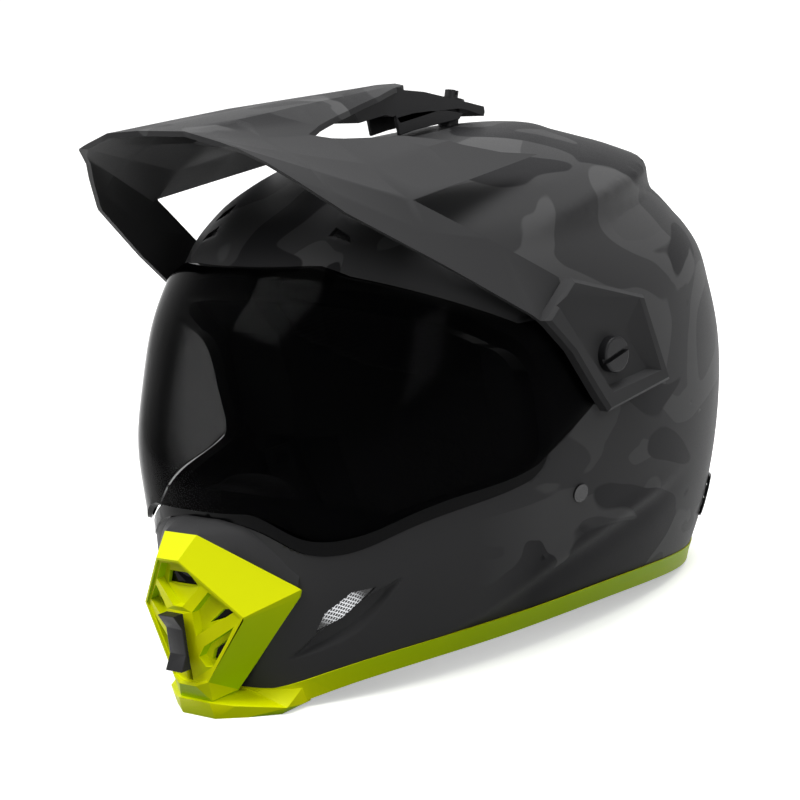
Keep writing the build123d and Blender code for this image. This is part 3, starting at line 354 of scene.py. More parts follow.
def lens_material(name):
    """Dark smoked polycarbonate: glossy, and a little light passes."""
    material, tree, shader = new_material(name)
    tint = noise(tree, objects_at(tree), 6.0, 1.0)
    slant = node(tree, "ShaderNodeLayerWeight", Blend=0.5).outputs["Facing"]
    drive(tree, shader, Base_Color=mix(tree, tint, LENS_DARK, LENS_LIGHT),
          Alpha=ramp(tree, slant, LENS_ALPHA))
    set_finish(shader, Roughness=0.03, IOR=1.45, Specular_IOR_Level=0.012)
    return material


MATERIALS = {
    "shell": camo_material(
        "camo_grey", base=(0.037, 0.037, 0.038), dark=(0.013, 0.013, 0.014), light=(0.062, 0.062, 0.063)),
    "peak_grey": camo_material(
        "peak_grey", base=(0.036, 0.036, 0.037), dark=(0.020, 0.020, 0.021), light=(0.060, 0.060, 0.061),
        centre_only=True),
    # The accent plastic's two colours are painted light and painted shade, chosen by which way it faces
    "accent": fluorescent_painted_light_material(
        "fluorescent_plastic", upward=(0.72, 0.77, 0.0), sideways=(0.44, 0.68, 0.0),
        rough=0.42, grain=900.0, depth=0.00006),
    "rubber_black": paint_material(
        "gasket_rubber", (0.0025, 0.0025, 0.003), rough=0.12, grain=700.0, depth=0.00001,
        Specular_IOR_Level=0.04),
    "smoked_lens": lens_material("smoked_lens"),
    "black_plastic": paint_material(
        "black_plastic", (0.011, 0.011, 0.012), rough=0.42, grain=1300.0, depth=0.00006,
        Specular_IOR_Level=0.15),
    "brass_insert": metal_material("brass_insert", (0.60, 0.44, 0.16), rough=0.30),
    "black_mesh": mesh_material(
        "black_mesh", wire=(0.012, 0.012, 0.013), hole=(0.002, 0.002, 0.002), pitch=0.0014, metallic=0.2),
    # The silver mesh has a painted pool of light round this place; elsewhere its wires are darkened as
    # painted shade
    "silver_mesh": mesh_material(
        "silver_mesh", wire=(0.60, 0.61, 0.63), hole=(0.003, 0.003, 0.003), pitch=0.0013, metallic=0.6,
        painted_light_spot=(-0.137, 0.053)),
    "foam_black": paint_material("bead_foam", (0.022, 0.022, 0.024), rough=0.85, grain=320.0, depth=0.0006),
    "slip_yellow": paint_material("slip_sheet", (0.60, 0.55, 0.05), rough=0.30, grain=500.0, depth=0.00003),
    "cloth": cloth_material("liner_cloth", (0.040, 0.040, 0.044), pitch=0.0014, rough=0.9),
    "webbing": cloth_material("strap_webbing", (0.030, 0.030, 0.033), pitch=0.0022, rough=0.75),
    "rivet": paint_material(
        "rivet_black", (0.012, 0.012, 0.013), rough=0.30, grain=900.0, depth=0.00003, Metallic=0.3),
    "steel": metal_material("ring_steel", (0.62, 0.62, 0.64), rough=0.22),
}


# Mesh helpers

MERGE_DISTANCE = 0.00002
SHEET_MERGE = 0.00003
FLAT_ANGLE = 0.6
EDGE_ANGLE = 28.0
SHELL_ANGLE = 38
LEDGE_ANGLE = 40
HOUSING_ANGLE = 18.0


def smooth_by_angle(mesh, angle):
    for polygon in mesh.polygons:
        polygon.use_smooth = True
    mesh.set_sharp_from_angle(angle=math.radians(angle))


def relax(made, verts):
    """Moves each vertex half of the way to the middle of its neighbours."""
    bmesh.ops.smooth_vert(made, verts=verts, factor=0.5, use_axis_x=True, use_axis_y=True, use_axis_z=True)


def dissolve_flat(made, angle):
    bmesh.ops.dissolve_limit(made, angle_limit=math.radians(angle), verts=made.verts, edges=made.edges)


def copy_of(name):
    """A bmesh of a CAD node, with its doubles merged."""
    made = bmesh.new()
    made.from_mesh(NODES[name].data)
    bmesh.ops.remove_doubles(made, verts=made.verts, dist=MERGE_DISTANCE)
    return made


def add_piece(name, made, body, slot, *replaced):
    """Turns a bmesh into a piece that rides on a body."""
    mesh = bpy.data.meshes.new(name)
    made.to_mesh(mesh)
    made.free()
    piece = bpy.data.objects.new(name, mesh)
    scene.collection.objects.link(piece)
    mesh.materials.append(MATERIALS[slot])
    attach(piece, body)
    if replaced:
        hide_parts(*replaced)
    return piece


def bevel(piece, width, angle=EDGE_ANGLE):
    modifier = piece.modifiers.new("edge", "BEVEL")
    modifier.width = width
    modifier.segments = 2
    modifier.limit_method = "ANGLE"
    modifier.angle_limit = math.radians(angle)
    modifier.harden_normals = True
    modifier.use_clamp_overlap = True


def dress(name, width, reshape=None):
    """A bevelled, smooth-shaded copy that stands for one CAD node."""
    made = copy_of(name)
    dissolve_flat(made, FLAT_ANGLE)
    if reshape:
        reshape(made)
    piece = add_piece(name + "_finish", made, BODY_OF[name], SLOT_OF[name], name)
    smooth_by_angle(piece.data, EDGE_ANGLE)
    bevel(piece, width)


# The shell's surface

SHELL_HEIGHT = 271.0
HALF_WIDTH = 129.0
FRONT_REACH = 205.0
REAR_REACH = 178.0
CHIN_FLAT = 181.0
CHIN_SOFTNESS = 10.0
# Past this many softnesses from the chin's flat, the flat has no effect
CHIN_FREE = 30
# Smallest and largest distance, in softnesses, that the inverse can take
CHIN_LIMITS = (1e-3, 300.0)
# Level sections as shares: height, half width, centre, front reach, rear reach; then the
# powers that round the section's front and rear
ROWS = np.array([
    (0.000, 0.698, 0.124, 1.000, 0.787, 2.0, 2.4),
    (0.111, 0.814, 0.101, 0.995, 0.860, 2.0, 2.4),
    (0.221, 0.899, 0.078, 0.980, 0.921, 2.0, 2.4),
    (0.351, 0.961, 0.062, 0.941, 0.972, 2.0, 2.4),
    (0.480, 0.992, 0.047, 0.898, 1.000, 2.1, 2.4),
    (0.590, 1.000, 0.047, 0.824, 1.000, 2.2, 2.3),
    (0.701, 0.984, 0.047, 0.751, 0.966, 2.2, 2.3),
    (0.793, 0.930, 0.062, 0.668, 0.876, 2.2, 2.2),
    (0.867, 0.837, 0.078, 0.595, 0.753, 2.2, 2.1),
    (0.923, 0.698, 0.093, 0.512, 0.607, 2.1, 2.0),
    (0.959, 0.543, 0.109, 0.420, 0.483, 2.0, 2.0),
    (0.985, 0.372, 0.124, 0.293, 0.360, 2.0, 2.0),
    (1.000, 0.140, 0.155, 0.098, 0.146, 2.0, 2.0),
])
# Above this height a point may reach the surface straight up or down
CROWN_START = 190
SEARCH_REACH = 12.0
SEARCH_STEPS = 18


def row_at(z):
    """The section's shares at heights z, by a smooth cubic through the rows."""
    share = np.clip(z / SHELL_HEIGHT, 0, 1)
    heights = ROWS[:, 0]
    index = np.clip(np.searchsorted(heights, share, side="right") - 1, 0, len(heights) - 2)
    slopes = np.gradient(ROWS[:, 1:], heights, axis=0)
    step = heights[index + 1] - heights[index]
    t = ((share - heights[index]) / step)[:, None]
    step = step[:, None]
    low = ROWS[index, 1:]
    high = ROWS[index + 1, 1:]
    return (
        low * (1 + 2 * t) * (1 - t) ** 2
        + slopes[index] * step * t * (1 - t) ** 2
        + high * t * t * (3 - 2 * t)
        + slopes[index + 1] * step * t * t * (t - 1)
    )


def reach_ratio(x, y, z):
    """1 on the body's outer surface and under 1 inside it.

    Also y before the chin's flat pressed it back, and the section's centre.
    """
    shares = row_at(z)
    half = shares[:, 0] * HALF_WIDTH
    centre = shares[:, 1] * HALF_WIDTH
    least, most = CHIN_LIMITS
    lifted = np.maximum((y + CHIN_FLAT) / CHIN_SOFTNESS, least)
    raw = -CHIN_FLAT + CHIN_SOFTNESS * np.log(np.expm1(np.minimum(lifted, most)))
    raw = np.where(lifted > CHIN_FREE, y, raw)
    ahead = raw < centre
    reach = np.where(ahead, shares[:, 2] * FRONT_REACH, shares[:, 3] * REAR_REACH)
    power = np.where(ahead, shares[:, 4], shares[:, 5])
    ratio = (np.abs(x / half) ** power + np.abs((raw - centre) / reach) ** power) ** (1 / power)
    return ratio, raw, centre


def press_chin(raw):
    """Presses y back to the chin's flat, with a soft start."""
    lifted = (raw + CHIN_FLAT) / CHIN_SOFTNESS
    pressed = -CHIN_FLAT + CHIN_SOFTNESS * np.log1p(np.exp(np.minimum(lifted, CHIN_FREE)))
    return np.where(lifted > CHIN_FREE, raw, pressed)


def on_surface(points, rows):
    """Moves the rows of points on to the body's surface, sideways or, on the crown, up or down."""
    x, y, z = points[rows].T
    ratio, raw, centre = reach_ratio(x, y, z)
    new_x = x / ratio
    new_raw = centre + (raw - centre) / ratio
    aside = np.hypot(new_x - x, new_raw - raw)
    low = z - SEARCH_REACH
    high = z + SEARCH_REACH
    for _ in range(SEARCH_STEPS):
        middle = (low + high) / 2
        inside = reach_ratio(x, y, middle)[0] < 1
        low = np.where(inside, middle, low)
        high = np.where(inside, high, middle)
    vertical = (np.abs(low - z) < aside) & (z > CROWN_START)
    points[rows] = np.stack([
        np.where(vertical, x, new_x),
        np.where(vertical, y, press_chin(new_raw)),
        np.where(vertical, low, z),
    ], 1)


# The shell's moulded relief

# Lines on the side view, as y and z
RIDGE_Y = (-60, -35, -1, 33, 75, 98, 140)
RIDGE_Z = (221, 223, 228, 231, 233, 234, 235)
CREASE_Y = (-121, -74, -29, 28, 80)
CREASE_Z = (23, 32, 50, 64, 74)
RIDGE_HEIGHT = 5.5
RIDGE_SLOPE = 17
HOLLOW_DEPTH = 6.0
HOLLOW_REACH = 16
# Where the ridge comes in along y and up z, and goes out under the bracket
RIDGE_BACK = (-48, 70)
RIDGE_UP = (120, 170)
RIDGE_OUT = (246, 262)
CREASE_HEIGHT = 1.3
CREASE_WIDTH = 5
VALLEY_SHARE = 0.8
VALLEY_DROP = 9
VALLEY_WIDTH = 8
CREASE_START = (-118, -85)
CREASE_END = (30, 85)
# The groove's front end and its run, as y and z, and its widest half width
GROOVE_START = (-169, 27)
GROOVE_RUN = (46, 36)
GROOVE_WIDTH = 9.0
GROOVE_DEPTH = 4.6
GROOVE_TAPER = 1.5
# Shares of the half width: the bottom ends and the upper side starts, and the lower side
GROOVE_BOTTOM = -0.1
GROOVE_UPPER = (0.35, 0.75)
GROOVE_LOWER = (-1.0, -0.1)
# Widths in mm: at a tip, and from where on the groove has its full depth
TIP_WIDTH = 0.01
FULL_WIDTH = 5
MIDDLE_CLEAR = 30


def fade(value, start, end):
    t = np.clip((value - start) / (end - start), 0, 1)
    return t * t * (3 - 2 * t)


def ridge_relief(y, z):
    """The shelf along the rear ridge, with the hollow under it."""
    over = z - np.interp(y, RIDGE_Y, RIDGE_Z)
    above = RIDGE_HEIGHT * np.exp(-np.maximum(over, 0) / RIDGE_SLOPE)
    hollow = HOLLOW_DEPTH * (-over / HOLLOW_REACH) * np.exp(1 + over / HOLLOW_REACH)
    below = RIDGE_HEIGHT * np.exp(-((over / RIDGE_HEIGHT) ** 2)) - hollow
    shelf = np.where(over > 0, above, below)
    return fade(y, *RIDGE_BACK) * shelf * fade(z, *RIDGE_UP) * (1 - fade(z, *RIDGE_OUT))


def crease_relief(y, z):
    """The soft crease along the side, with a valley under it."""
    over = z - np.interp(y, CREASE_Y, CREASE_Z)
    valley = VALLEY_SHARE * np.exp(-(((over + VALLEY_DROP) / VALLEY_WIDTH) ** 2))
    section = np.exp(-((over / CREASE_WIDTH) ** 2)) - valley
    return CREASE_HEIGHT * fade(y, *CREASE_START) * (1 - fade(y, *CREASE_END)) * section


def groove_depth(x, y, z):
    """The leaf-shaped groove round a side vent, steep above and long below."""
    from_y = y - GROOVE_START[0]
    from_z = z - GROOVE_START[1]
    run_y, run_z = GROOVE_RUN
    along = (from_y * run_y + from_z * run_z) / (run_y * run_y + run_z * run_z)
    off = (from_z * run_y - from_y * run_z) / math.hypot(run_y, run_z)
    wide = GROOVE_WIDTH * np.clip(1 - np.abs(2 * along - 1) ** GROOVE_TAPER, 0, 1) + TIP_WIDTH
    share = off / wide
    cut = np.where(share > GROOVE_BOTTOM, 1 - fade(share, *GROOVE_UPPER), fade(share, *GROOVE_LOWER))
    inside = (along > 0) & (along < 1) & (np.abs(x) > MIDDLE_CLEAR)
    return GROOVE_DEPTH * cut * np.clip(wide / FULL_WIDTH, 0, 1) * inside


def relief(points):
    """How far the shell's moulded creases stand out of the plain body, in millimetres."""
    x, y, z = points.T
    return ridge_relief(y, z) + crease_relief(y, z) - groove_depth(x, y, z)


# The shell's skin

# Longest edges in metres, on the whole shell and round the side vents
COARSE_EDGE = 0.005
FINE_EDGE = 0.0014
DIVIDING_ROUNDS = 8
# How near to 1 the ratio is on the outer surface, and how far over 1 on the fused ridge
NEAR_SURFACE = 0.012
FUSED_RATIO = 1.09
RIDGE_FRONT = -45
SEAM_HEIGHT = 205
SEAM_ROUNDS = 2
VENT_BACK = -108
VENT_TOP = 74
GRADIENT_STEP = 0.4
SLIVER_EDGE = 0.0002


def read_points(made):
    """The vertices in millimetres, with y from the pivot axis."""
    points = np.array([vert.co for vert in made.verts]) * MM
    points[:, 1] -= SHIFT
    return points


def write_points(made, points, flags):
    """Sets the flagged vertices from such points."""
    placed = points.copy()
    placed[:, 1] += SHIFT
    for vert, place, flag in zip(made.verts, placed / MM, flags):
        if flag:
            vert.co = place


def outer_rows(points):
    """The points on the outer surface, the fused rear ridge among them."""
    x, y, z = points.T
    ratio = reach_ratio(x, y, z)[0]
    raised = (ratio > 1.0) & (ratio < FUSED_RATIO) & (z > CROWN_START) & (y > RIDGE_FRONT)
    return (np.abs(ratio - 1) < NEAR_SURFACE) | raised


def laid_points(made):
    """The vertices as points, with the outer surface's laid on the exact body, and which these are."""
    made.verts.ensure_lookup_table()
    points = read_points(made)
    outer = outer_rows(points)
    on_surface(points, np.flatnonzero(outer))
    return points, outer


def shell_skin():
    """The CAD shell's copy, divided finely, laid on the exact body and given its creases."""
    made = copy_of("outer_shell")
    bmesh.ops.triangulate(made, faces=made.faces)
    for _ in range(DIVIDING_ROUNDS):
        points, outer = laid_points(made)
        write_points(made, points, outer)
        x, y, z = points.T
        at_vents = (np.abs(x) > MIDDLE_CLEAR) & (y < VENT_BACK) & (z < VENT_TOP) & outer
        limits = np.where(at_vents, FINE_EDGE, COARSE_EDGE)
        long_edges = []
        for edge in made.edges:
            first, second = (vert.index for vert in edge.verts)
            if outer[first] and outer[second] and edge.calc_length() > max(limits[first], limits[second]):
                long_edges.append(edge)
        if not long_edges:
            break
        bmesh.ops.subdivide_edges(made, edges=long_edges, cuts=1)
        bmesh.ops.triangulate(made, faces=[face for face in made.faces if len(face.verts) > 3])
    points, outer = laid_points(made)
    steps = GRADIENT_STEP * np.eye(3)
    gradient = np.stack([
        reach_ratio(*(points + step).T)[0] - reach_ratio(*(points - step).T)[0] for step in steps
    ], 1)
    gradient /= np.linalg.norm(gradient, axis=1)[:, None] + 1e-12
    write_points(made, points + gradient * relief(points)[:, None], outer)
    on_seam = outer & (points[:, 2] > SEAM_HEIGHT) & (points[:, 1] > RIDGE_FRONT)
    seam = [vert for vert, flag in zip(made.verts, on_seam) if flag]
    for _ in range(SEAM_ROUNDS):
        relax(made, seam)
    bmesh.ops.dissolve_degenerate(made, dist=SLIVER_EDGE, edges=made.edges)
    return made


# Chin vent housing

# Corners of its facets; x counts for both sides
TOP_CORNER = (12.5, -192.1, 97.3)
NOSE_CORNER = (8.5, -203.5, 86.5)
SIDE_CORNER = (38.8, -191.2, 55.8)
WING_TIP = (57.0, -165.7, 65.4)
WING_UNDER = (55.4, -166.2, 61.0)
SIDE_UNDER = (38.4, -190.9, 54.2)
TOE_CORNER = (13.6, -199.3, 20.6)
TOE_MIDDLE = (6.5, -202.2, 18.4)
TOE_REAR = (15.5, -181.5, 11.4)
TOE_FOOT = (12.5, -197.5, 9.6)
HOUSING_REAR = -179.0
REAR_DROP = 4
WING_BACK = (WING_TIP[0] - 4, WING_TIP[1] + 5, WING_TIP[2] - 4)
FOOT_BACK = (TOE_REAR[0] - 2, HOUSING_REAR, TOE_FOOT[2])
# The front face falls back by these shares of the way outward and downward
FACE_FOLD = 0.3705
FACE_LEAN = 0.0351
RIM_WIDTH = 1.3
RIM_FALL = 0.15
RIM_STEP = 1.7
CELL_DEPTH = 5.0
SLOT_DEPTH = 2.2
# How far the black sheet of painted shade behind a slot reaches past it
SHADE_LAP = 1.2
# Least cosine of half a corner's turn that inset() follows in full
SHARPEST_CORNER = 0.35
# Outlines in front view, as x and z: the sunk cells of one side, the middle one's half,
# and the slot in each
CELLS = [
    [(9.8, 58.0), (20.6, 69.0), (32.6, 58.2), (9.8, 45.2)],
    [(9.6, 34.0), (13.4, 39.6), (31.2, 50.2), (25.6, 41.6), (16.2, 28.6), (12.4, 28.6)],
]
CELL_SLOTS = [
    [(15.0, 51.4), (23.4, 58.4), (29.4, 58.8), (27.0, 54.8)],
    [(12.6, 31.4), (14.6, 36.6), (26.4, 44.6), (22.6, 38.4), (15.4, 30.2)],
]
TOP_CELL = [(3.4, 60.6), (17.4, 72.6), (7.2, 83.6)]
TOP_SLOT = [(4.0, 71.0), (12.0, 70.6), (7.4, 78.0)]
LEVER_SLOT = [(1.9, 20.4), (1.9, 56.5), (-1.9, 56.5), (-1.9, 20.4)]


def mirrored(point):
    return (-point[0], *point[1:])


def mirrored_loops(loops):
    return [[mirrored(point) for point in reversed(loop)] for loop in loops]


def sides(points):
    """A half outline and its mirror image as one closed loop."""
    return points + [mirrored(point) for point in reversed(points) if point[0] > 0]


def shifted(loop):
    """The loop from its second point on, with the first one last."""
    return loop[1:] + loop[:1]


class Sheets:
    """Collects polygons in millimetres, with y from the pivot axis, into one bmesh."""

    def __init__(self):
        self.made = bmesh.new()

    def face(self, points):
        verts = [self.made.verts.new((x / MM, (y + SHIFT) / MM, z / MM)) for x, y, z in points]
        self.made.faces.new(verts)

    def both(self, points):
        """A face and its mirror image."""
        self.face(points)
        self.face([(-x, y, z) for x, y, z in reversed(points)])

    def plate(self, outline, holes, lift):
        """A plate in front view with holes, laid at y = lift(x, z)."""
        loops = [[Vector((x, z, 0)) for x, z in loop] for loop in [outline, *holes]]
        flat = [point for loop in loops for point in loop]
        for corners in tessellate_polygon(loops):
            self.face([(flat[i].x, lift(flat[i].x, flat[i].y), flat[i].y) for i in corners])

    def wall(self, outline, near, far):
        """The wall along an outline in front view, between two such depths."""
        for (x, z), (u, w) in zip(outline, shifted(outline)):
            self.face([(x, near(x, z), z), (u, near(u, w), w), (u, far(u, w), w), (x, far(x, z), z)])

    def done(self, flat):
        """The finished bmesh, with doubles merged and its flat parts, to this angle, dissolved."""
        bmesh.ops.remove_doubles(self.made, verts=self.made.verts, dist=SHEET_MERGE)
        dissolve_flat(self.made, flat)
        bmesh.ops.recalc_face_normals(self.made, faces=self.made.faces)
        return self.made


def inset(points, gap):
    """The outline drawn in by gap, corner by corner, towards its inside."""
    area = sum(a[0] * b[1] - b[0] * a[1] for a, b in zip(points, shifted(points)))
    sign = 1 if area > 0 else -1
    out = []
    for before, here, after in zip(points[-1:] + points[:-1], points, shifted(points)):
        ends = []
        for start, end in ((before, here), (here, after)):
            span = Vector((end[0] - start[0], end[1] - start[1])).normalized()
            ends.append(Vector((-span.y, span.x)) * sign)
        bisector = (ends[0] + ends[1]).normalized()
        grow = gap / max(bisector.dot(ends[0]), SHARPEST_CORNER)
        out.append((here[0] + bisector.x * grow, here[1] + bisector.y * grow))
    return out


def front_y(x, z, depth=0.0):
    """The folded front face of the housing, sunk by depth."""
    fold = FACE_FOLD * max(abs(x) - NOSE_CORNER[0], 0.0)
    return NOSE_CORNER[1] + fold - FACE_LEAN * (z - NOSE_CORNER[2]) + depth


def rim_inner_y(x, z):
    return front_y(x, z, RIM_FALL)


def face_y(x, z):
    return front_y(x, z, RIM_STEP)


def floor_y(x, z):
    return front_y(x, z, RIM_STEP + CELL_DEPTH)


# The depth where the black sheets of painted shade lie, behind the slots
def dark_y(x, z):
    return front_y(x, z, RIM_STEP + CELL_DEPTH + SLOT_DEPTH)


# The rim's outer line, and y at the corners that the front face doesn't pass through
RIM_LINE = sides([
    (0, NOSE_CORNER[2]),
    NOSE_CORNER[::2],
    SIDE_CORNER[::2],
    TOE_CORNER[::2],
    TOE_MIDDLE[::2],
    (0, TOE_MIDDLE[2]),
])
RIM_CORNERS = {corner[::2]: corner[1] for corner in (NOSE_CORNER, SIDE_CORNER, TOE_CORNER, TOE_MIDDLE)}
RIM_CORNERS[(0, TOE_MIDDLE[2])] = TOE_MIDDLE[1]
SLOTS = CELL_SLOTS + mirrored_loops(CELL_SLOTS) + [sides(TOP_SLOT)]


def rim_y(x, z):
    return RIM_CORNERS.get((abs(x), z), front_y(x, z))


def behind(corner):
    """The place behind a top corner, at the housing's rear."""
    return (corner[0], HOUSING_REAR, corner[2] - REAR_DROP)


def housing_facets(sheets):
    """The outer facets, from the top down, and then those that turn back to the shell."""
    sheets.face([TOP_CORNER, NOSE_CORNER, mirrored(NOSE_CORNER), mirrored(TOP_CORNER)])
    sheets.both([TOP_CORNER, WING_TIP, SIDE_CORNER, NOSE_CORNER])
    sheets.both([SIDE_CORNER, WING_TIP, WING_UNDER, SIDE_UNDER])
    sheets.both([SIDE_UNDER, WING_UNDER, TOE_REAR, TOE_CORNER])
    sheets.both([TOE_CORNER, TOE_REAR, TOE_FOOT])
    sheets.both([TOE_CORNER, TOE_FOOT, TOE_MIDDLE])
    sheets.face([TOE_MIDDLE, TOE_FOOT, mirrored(TOE_FOOT), mirrored(TOE_MIDDLE)])
    sheets.face([TOP_CORNER, mirrored(TOP_CORNER), behind(mirrored(TOP_CORNER)), behind(TOP_CORNER)])
    sheets.both([WING_TIP, TOP_CORNER, behind(TOP_CORNER), WING_BACK])
    sheets.both([WING_UNDER, WING_TIP, WING_BACK])
    sheets.both([TOE_REAR, WING_UNDER, WING_BACK])
    sheets.both([TOE_FOOT, TOE_REAR, FOOT_BACK])
    sheets.face([mirrored(TOE_FOOT), TOE_FOOT, FOOT_BACK, mirrored(FOOT_BACK)])


def housing_rim(sheets, inner):
    """The bevelled rim round the front face, and its step down to that face."""
    for (x, z), (u, w), (a, b), (c, d) in zip(RIM_LINE, shifted(RIM_LINE), inner, shifted(inner)):
        outer_edge = [(x, rim_y(x, z), z), (u, rim_y(u, w), w)]
        inner_edge = [(c, rim_inner_y(c, d), d), (a, rim_inner_y(a, b), b)]
        sheets.face(outer_edge + inner_edge)
    sheets.wall(inner, rim_inner_y, face_y)


def chin_housing():
    """The chin vent's faceted cover with its sunk cells, their slots and the lever's slot."""
    sheets = Sheets()
    housing_facets(sheets)
    inner = inset(RIM_LINE, RIM_WIDTH)
    housing_rim(sheets, inner)
    cells = CELLS + mirrored_loops(CELLS) + [sides(TOP_CELL)]
    sheets.plate(inner, [*cells, LEVER_SLOT], face_y)
    sheets.wall(LEVER_SLOT, face_y, dark_y)
    for cell, slot in zip(cells, SLOTS):
        sheets.wall(cell, face_y, floor_y)
        sheets.plate(cell, [slot], floor_y)
        sheets.wall(slot, floor_y, dark_y)
    return sheets.done(flat=0.5)


def vent_painted_shade():
    """Black sheets of painted shade at the bottom of the housing's slots and the lever's slot."""
    sheets = Sheets()
    for slot in [*SLOTS, LEVER_SLOT]:
        sheets.plate(inset(slot, -SHADE_LAP), [], dark_y)
    return sheets.done(flat=0.5)


# The shell's ledge over the housing

LEDGE_ACROSS = (0.0, 6.2, 12.5, 20.0, 29.0, 38.0, 47.0, 55.5)
LEDGE_REAR_X = (0, 14, 28, 42, 57)
LEDGE_REAR_Z = (101.6, 101.6, 99.0, 89.0, 70.0)
LEDGE_STEPS = (0.2, 0.4, 0.6, 0.8, 1.0)
LEDGE_LAP = 0.5
LEDGE_DROP = 0.1
LEDGE_SWELL = 0.2
FRONT_SKIRT = Vector((0, 1.2, -3.0))
REAR_SKIRT = Vector((0, 3.0, -6.0))
SEARCH_FROM_Y = -170.0
SEARCH_ROUNDS = 3
# How much the front and the rear count in the knee's place
KNEE_SHARES = (0.55, 0.45)


def ledge_section(x):
    """The ledge's line at x: up from behind the housing's top edge and back into the shell."""
    t = max(x - TOP_CORNER[0], 0.0) / (WING_TIP[0] - TOP_CORNER[0])
    front = Vector((
        x,
        TOP_CORNER[1] + t * (WING_TIP[1] - TOP_CORNER[1]) + LEDGE_LAP,
        TOP_CORNER[2] + t * (WING_TIP[2] - TOP_CORNER[2]) - LEDGE_DROP,
    ))
    top = np.interp(x, LEDGE_REAR_X, LEDGE_REAR_Z)
    spot = np.array([[x, SEARCH_FROM_Y, top]])
    for _ in range(SEARCH_ROUNDS):
        on_surface(spot, np.array([0]))
        spot[0, 0] = x
        spot[0, 2] = top
    rear = Vector((x, spot[0, 1] + LEDGE_LAP, top))
    knee_y = front.y * KNEE_SHARES[0] + rear.y * KNEE_SHARES[1]
    knee = Vector((x, knee_y, top + LEDGE_SWELL * (1 - t)))
    line = [front + FRONT_SKIRT, front]
    for step in LEDGE_STEPS:
        line.append(front * (1 - step) ** 2 + knee * 2 * step * (1 - step) + rear * step * step)
    line.append(rear + REAR_SKIRT)
    return [tuple(point) for point in line]


def chin_ledge():
    """The shell's edge over the housing, from the housing's top line back to the gasket."""
    rows = [ledge_section(x) for x in LEDGE_ACROSS]
    sheets = Sheets()
    for low, high in zip(rows, rows[1:]):
        for i in range(len(low) - 1):
            sheets.both([low[i], low[i + 1], high[i + 1], high[i]])
    return sheets.done(flat=0.01)


# Bracket cheeks

PIVOT_HEIGHT = 154.5
# Distances from the pivot axis to the cheeks' upper line and, for its y only, to their foot
CHEEK_RADIUS = 129.5
CHEEK_FOOT_RADIUS = 118.0
CHEEK_ANGLES = (-5.0, 1.0, 7.0, 13.0, 18.5)
CHEEK_INNER = 9.7
CHEEK_OUTER = 12.0
CHEEK_CLEARANCE = 3.4
CROWN_LOW = 200.0
CROWN_STEPS = 24


def crown_height(x, y):
    """Height of the shell's crown at a place, its moulded relief included."""
    low = CROWN_LOW
    high = SHELL_HEIGHT
    for _ in range(CROWN_STEPS):
        middle = (low + high) / 2
        if reach_ratio(np.array([x]), np.array([y]), np.array([middle]))[0][0] < 1:
            low = middle
        else:
            high = middle
    return low + relief(np.array([[x, y, low]]))[0]


def bracket_cheeks():
    """Side walls of the peak's bracket, down to just over the crown."""
    upper = []
    lower = []
    for angle in CHEEK_ANGLES:
        a = math.radians(angle)
        upper.append((CHEEK_RADIUS * math.sin(a), PIVOT_HEIGHT + CHEEK_RADIUS * math.cos(a)))
        y = CHEEK_FOOT_RADIUS * math.sin(a)
        lower.append((y, crown_height(CHEEK_OUTER, y) + CHEEK_CLEARANCE))
    loop = upper + lower[::-1]
    sheets = Sheets()
    for x in (CHEEK_INNER, CHEEK_OUTER):
        for i in range(len(upper) - 1):
            sheets.both([(x, *upper[i]), (x, *upper[i + 1]), (x, *lower[i + 1]), (x, *lower[i])])
    for (y, z), (v, w) in zip(loop, shifted(loop)):
        sheets.both([(CHEEK_INNER, y, z), (CHEEK_OUTER, y, z), (CHEEK_OUTER, v, w), (CHEEK_INNER, v, w)])
    return sheets.done(flat=0.2)


# Soft liners

CLOTH_PRESSURE = 4.0
CLOTH_QUALITY = 4
CLOTH_FRAMES = 14
RELAX_ROUNDS = 3


def coordinates(mesh):
    flat = np.empty(len(mesh.vertices) * 3)
    mesh.vertices.foreach_get("co", flat)
    return flat.reshape(-1, 3)


def baked(obj):
    """A new mesh of the object as its modifiers make it; they are taken off."""
    graph = bpy.context.evaluated_depsgraph_get()
    mesh = bpy.data.meshes.new_from_object(obj.evaluated_get(graph))
    obj.modifiers.clear()
    return mesh


def blow_up(pad, start, swell):
    """Runs the cloth with inner pressure and caps how far each point moves."""
    cloth = pad.modifiers.new("cloth", "CLOTH")
    cloth.settings.use_pressure = True
    cloth.settings.uniform_pressure_force = CLOTH_PRESSURE
    cloth.settings.effector_weights.gravity = 0.0
    cloth.settings.quality = CLOTH_QUALITY
    cloth.point_cache.frame_start = 1
    cloth.point_cache.frame_end = CLOTH_FRAMES
    for number in range(1, CLOTH_FRAMES + 1):
        scene.frame_set(number)
    result = baked(pad)
    moved = coordinates(result) - start
    bpy.data.meshes.remove(result)
    scene.frame_set(1)
    far = np.linalg.norm(moved, axis=1, keepdims=True)
    return start + moved * np.minimum(1.0, swell / np.maximum(far, 1e-9))


def press_channels(mesh, points, channels):
    """Presses stitched channels in: each is a plane's normal and offset, its width and depth."""
    normals = np.empty(len(mesh.vertices) * 3)
    mesh.vertices.foreach_set("co", points.ravel())
    mesh.update()
    mesh.vertices.foreach_get("normal", normals)
    depth = np.zeros(len(points))
    for normal, offset, width, sink in channels:
        off = points @ np.array(normal, float) - offset
        depth = np.maximum(depth, sink * np.exp(-((off / width) ** 2)))
    mesh.vertices.foreach_set("co", (points - normals.reshape(-1, 3) * depth[:, None]).ravel())
    mesh.update()


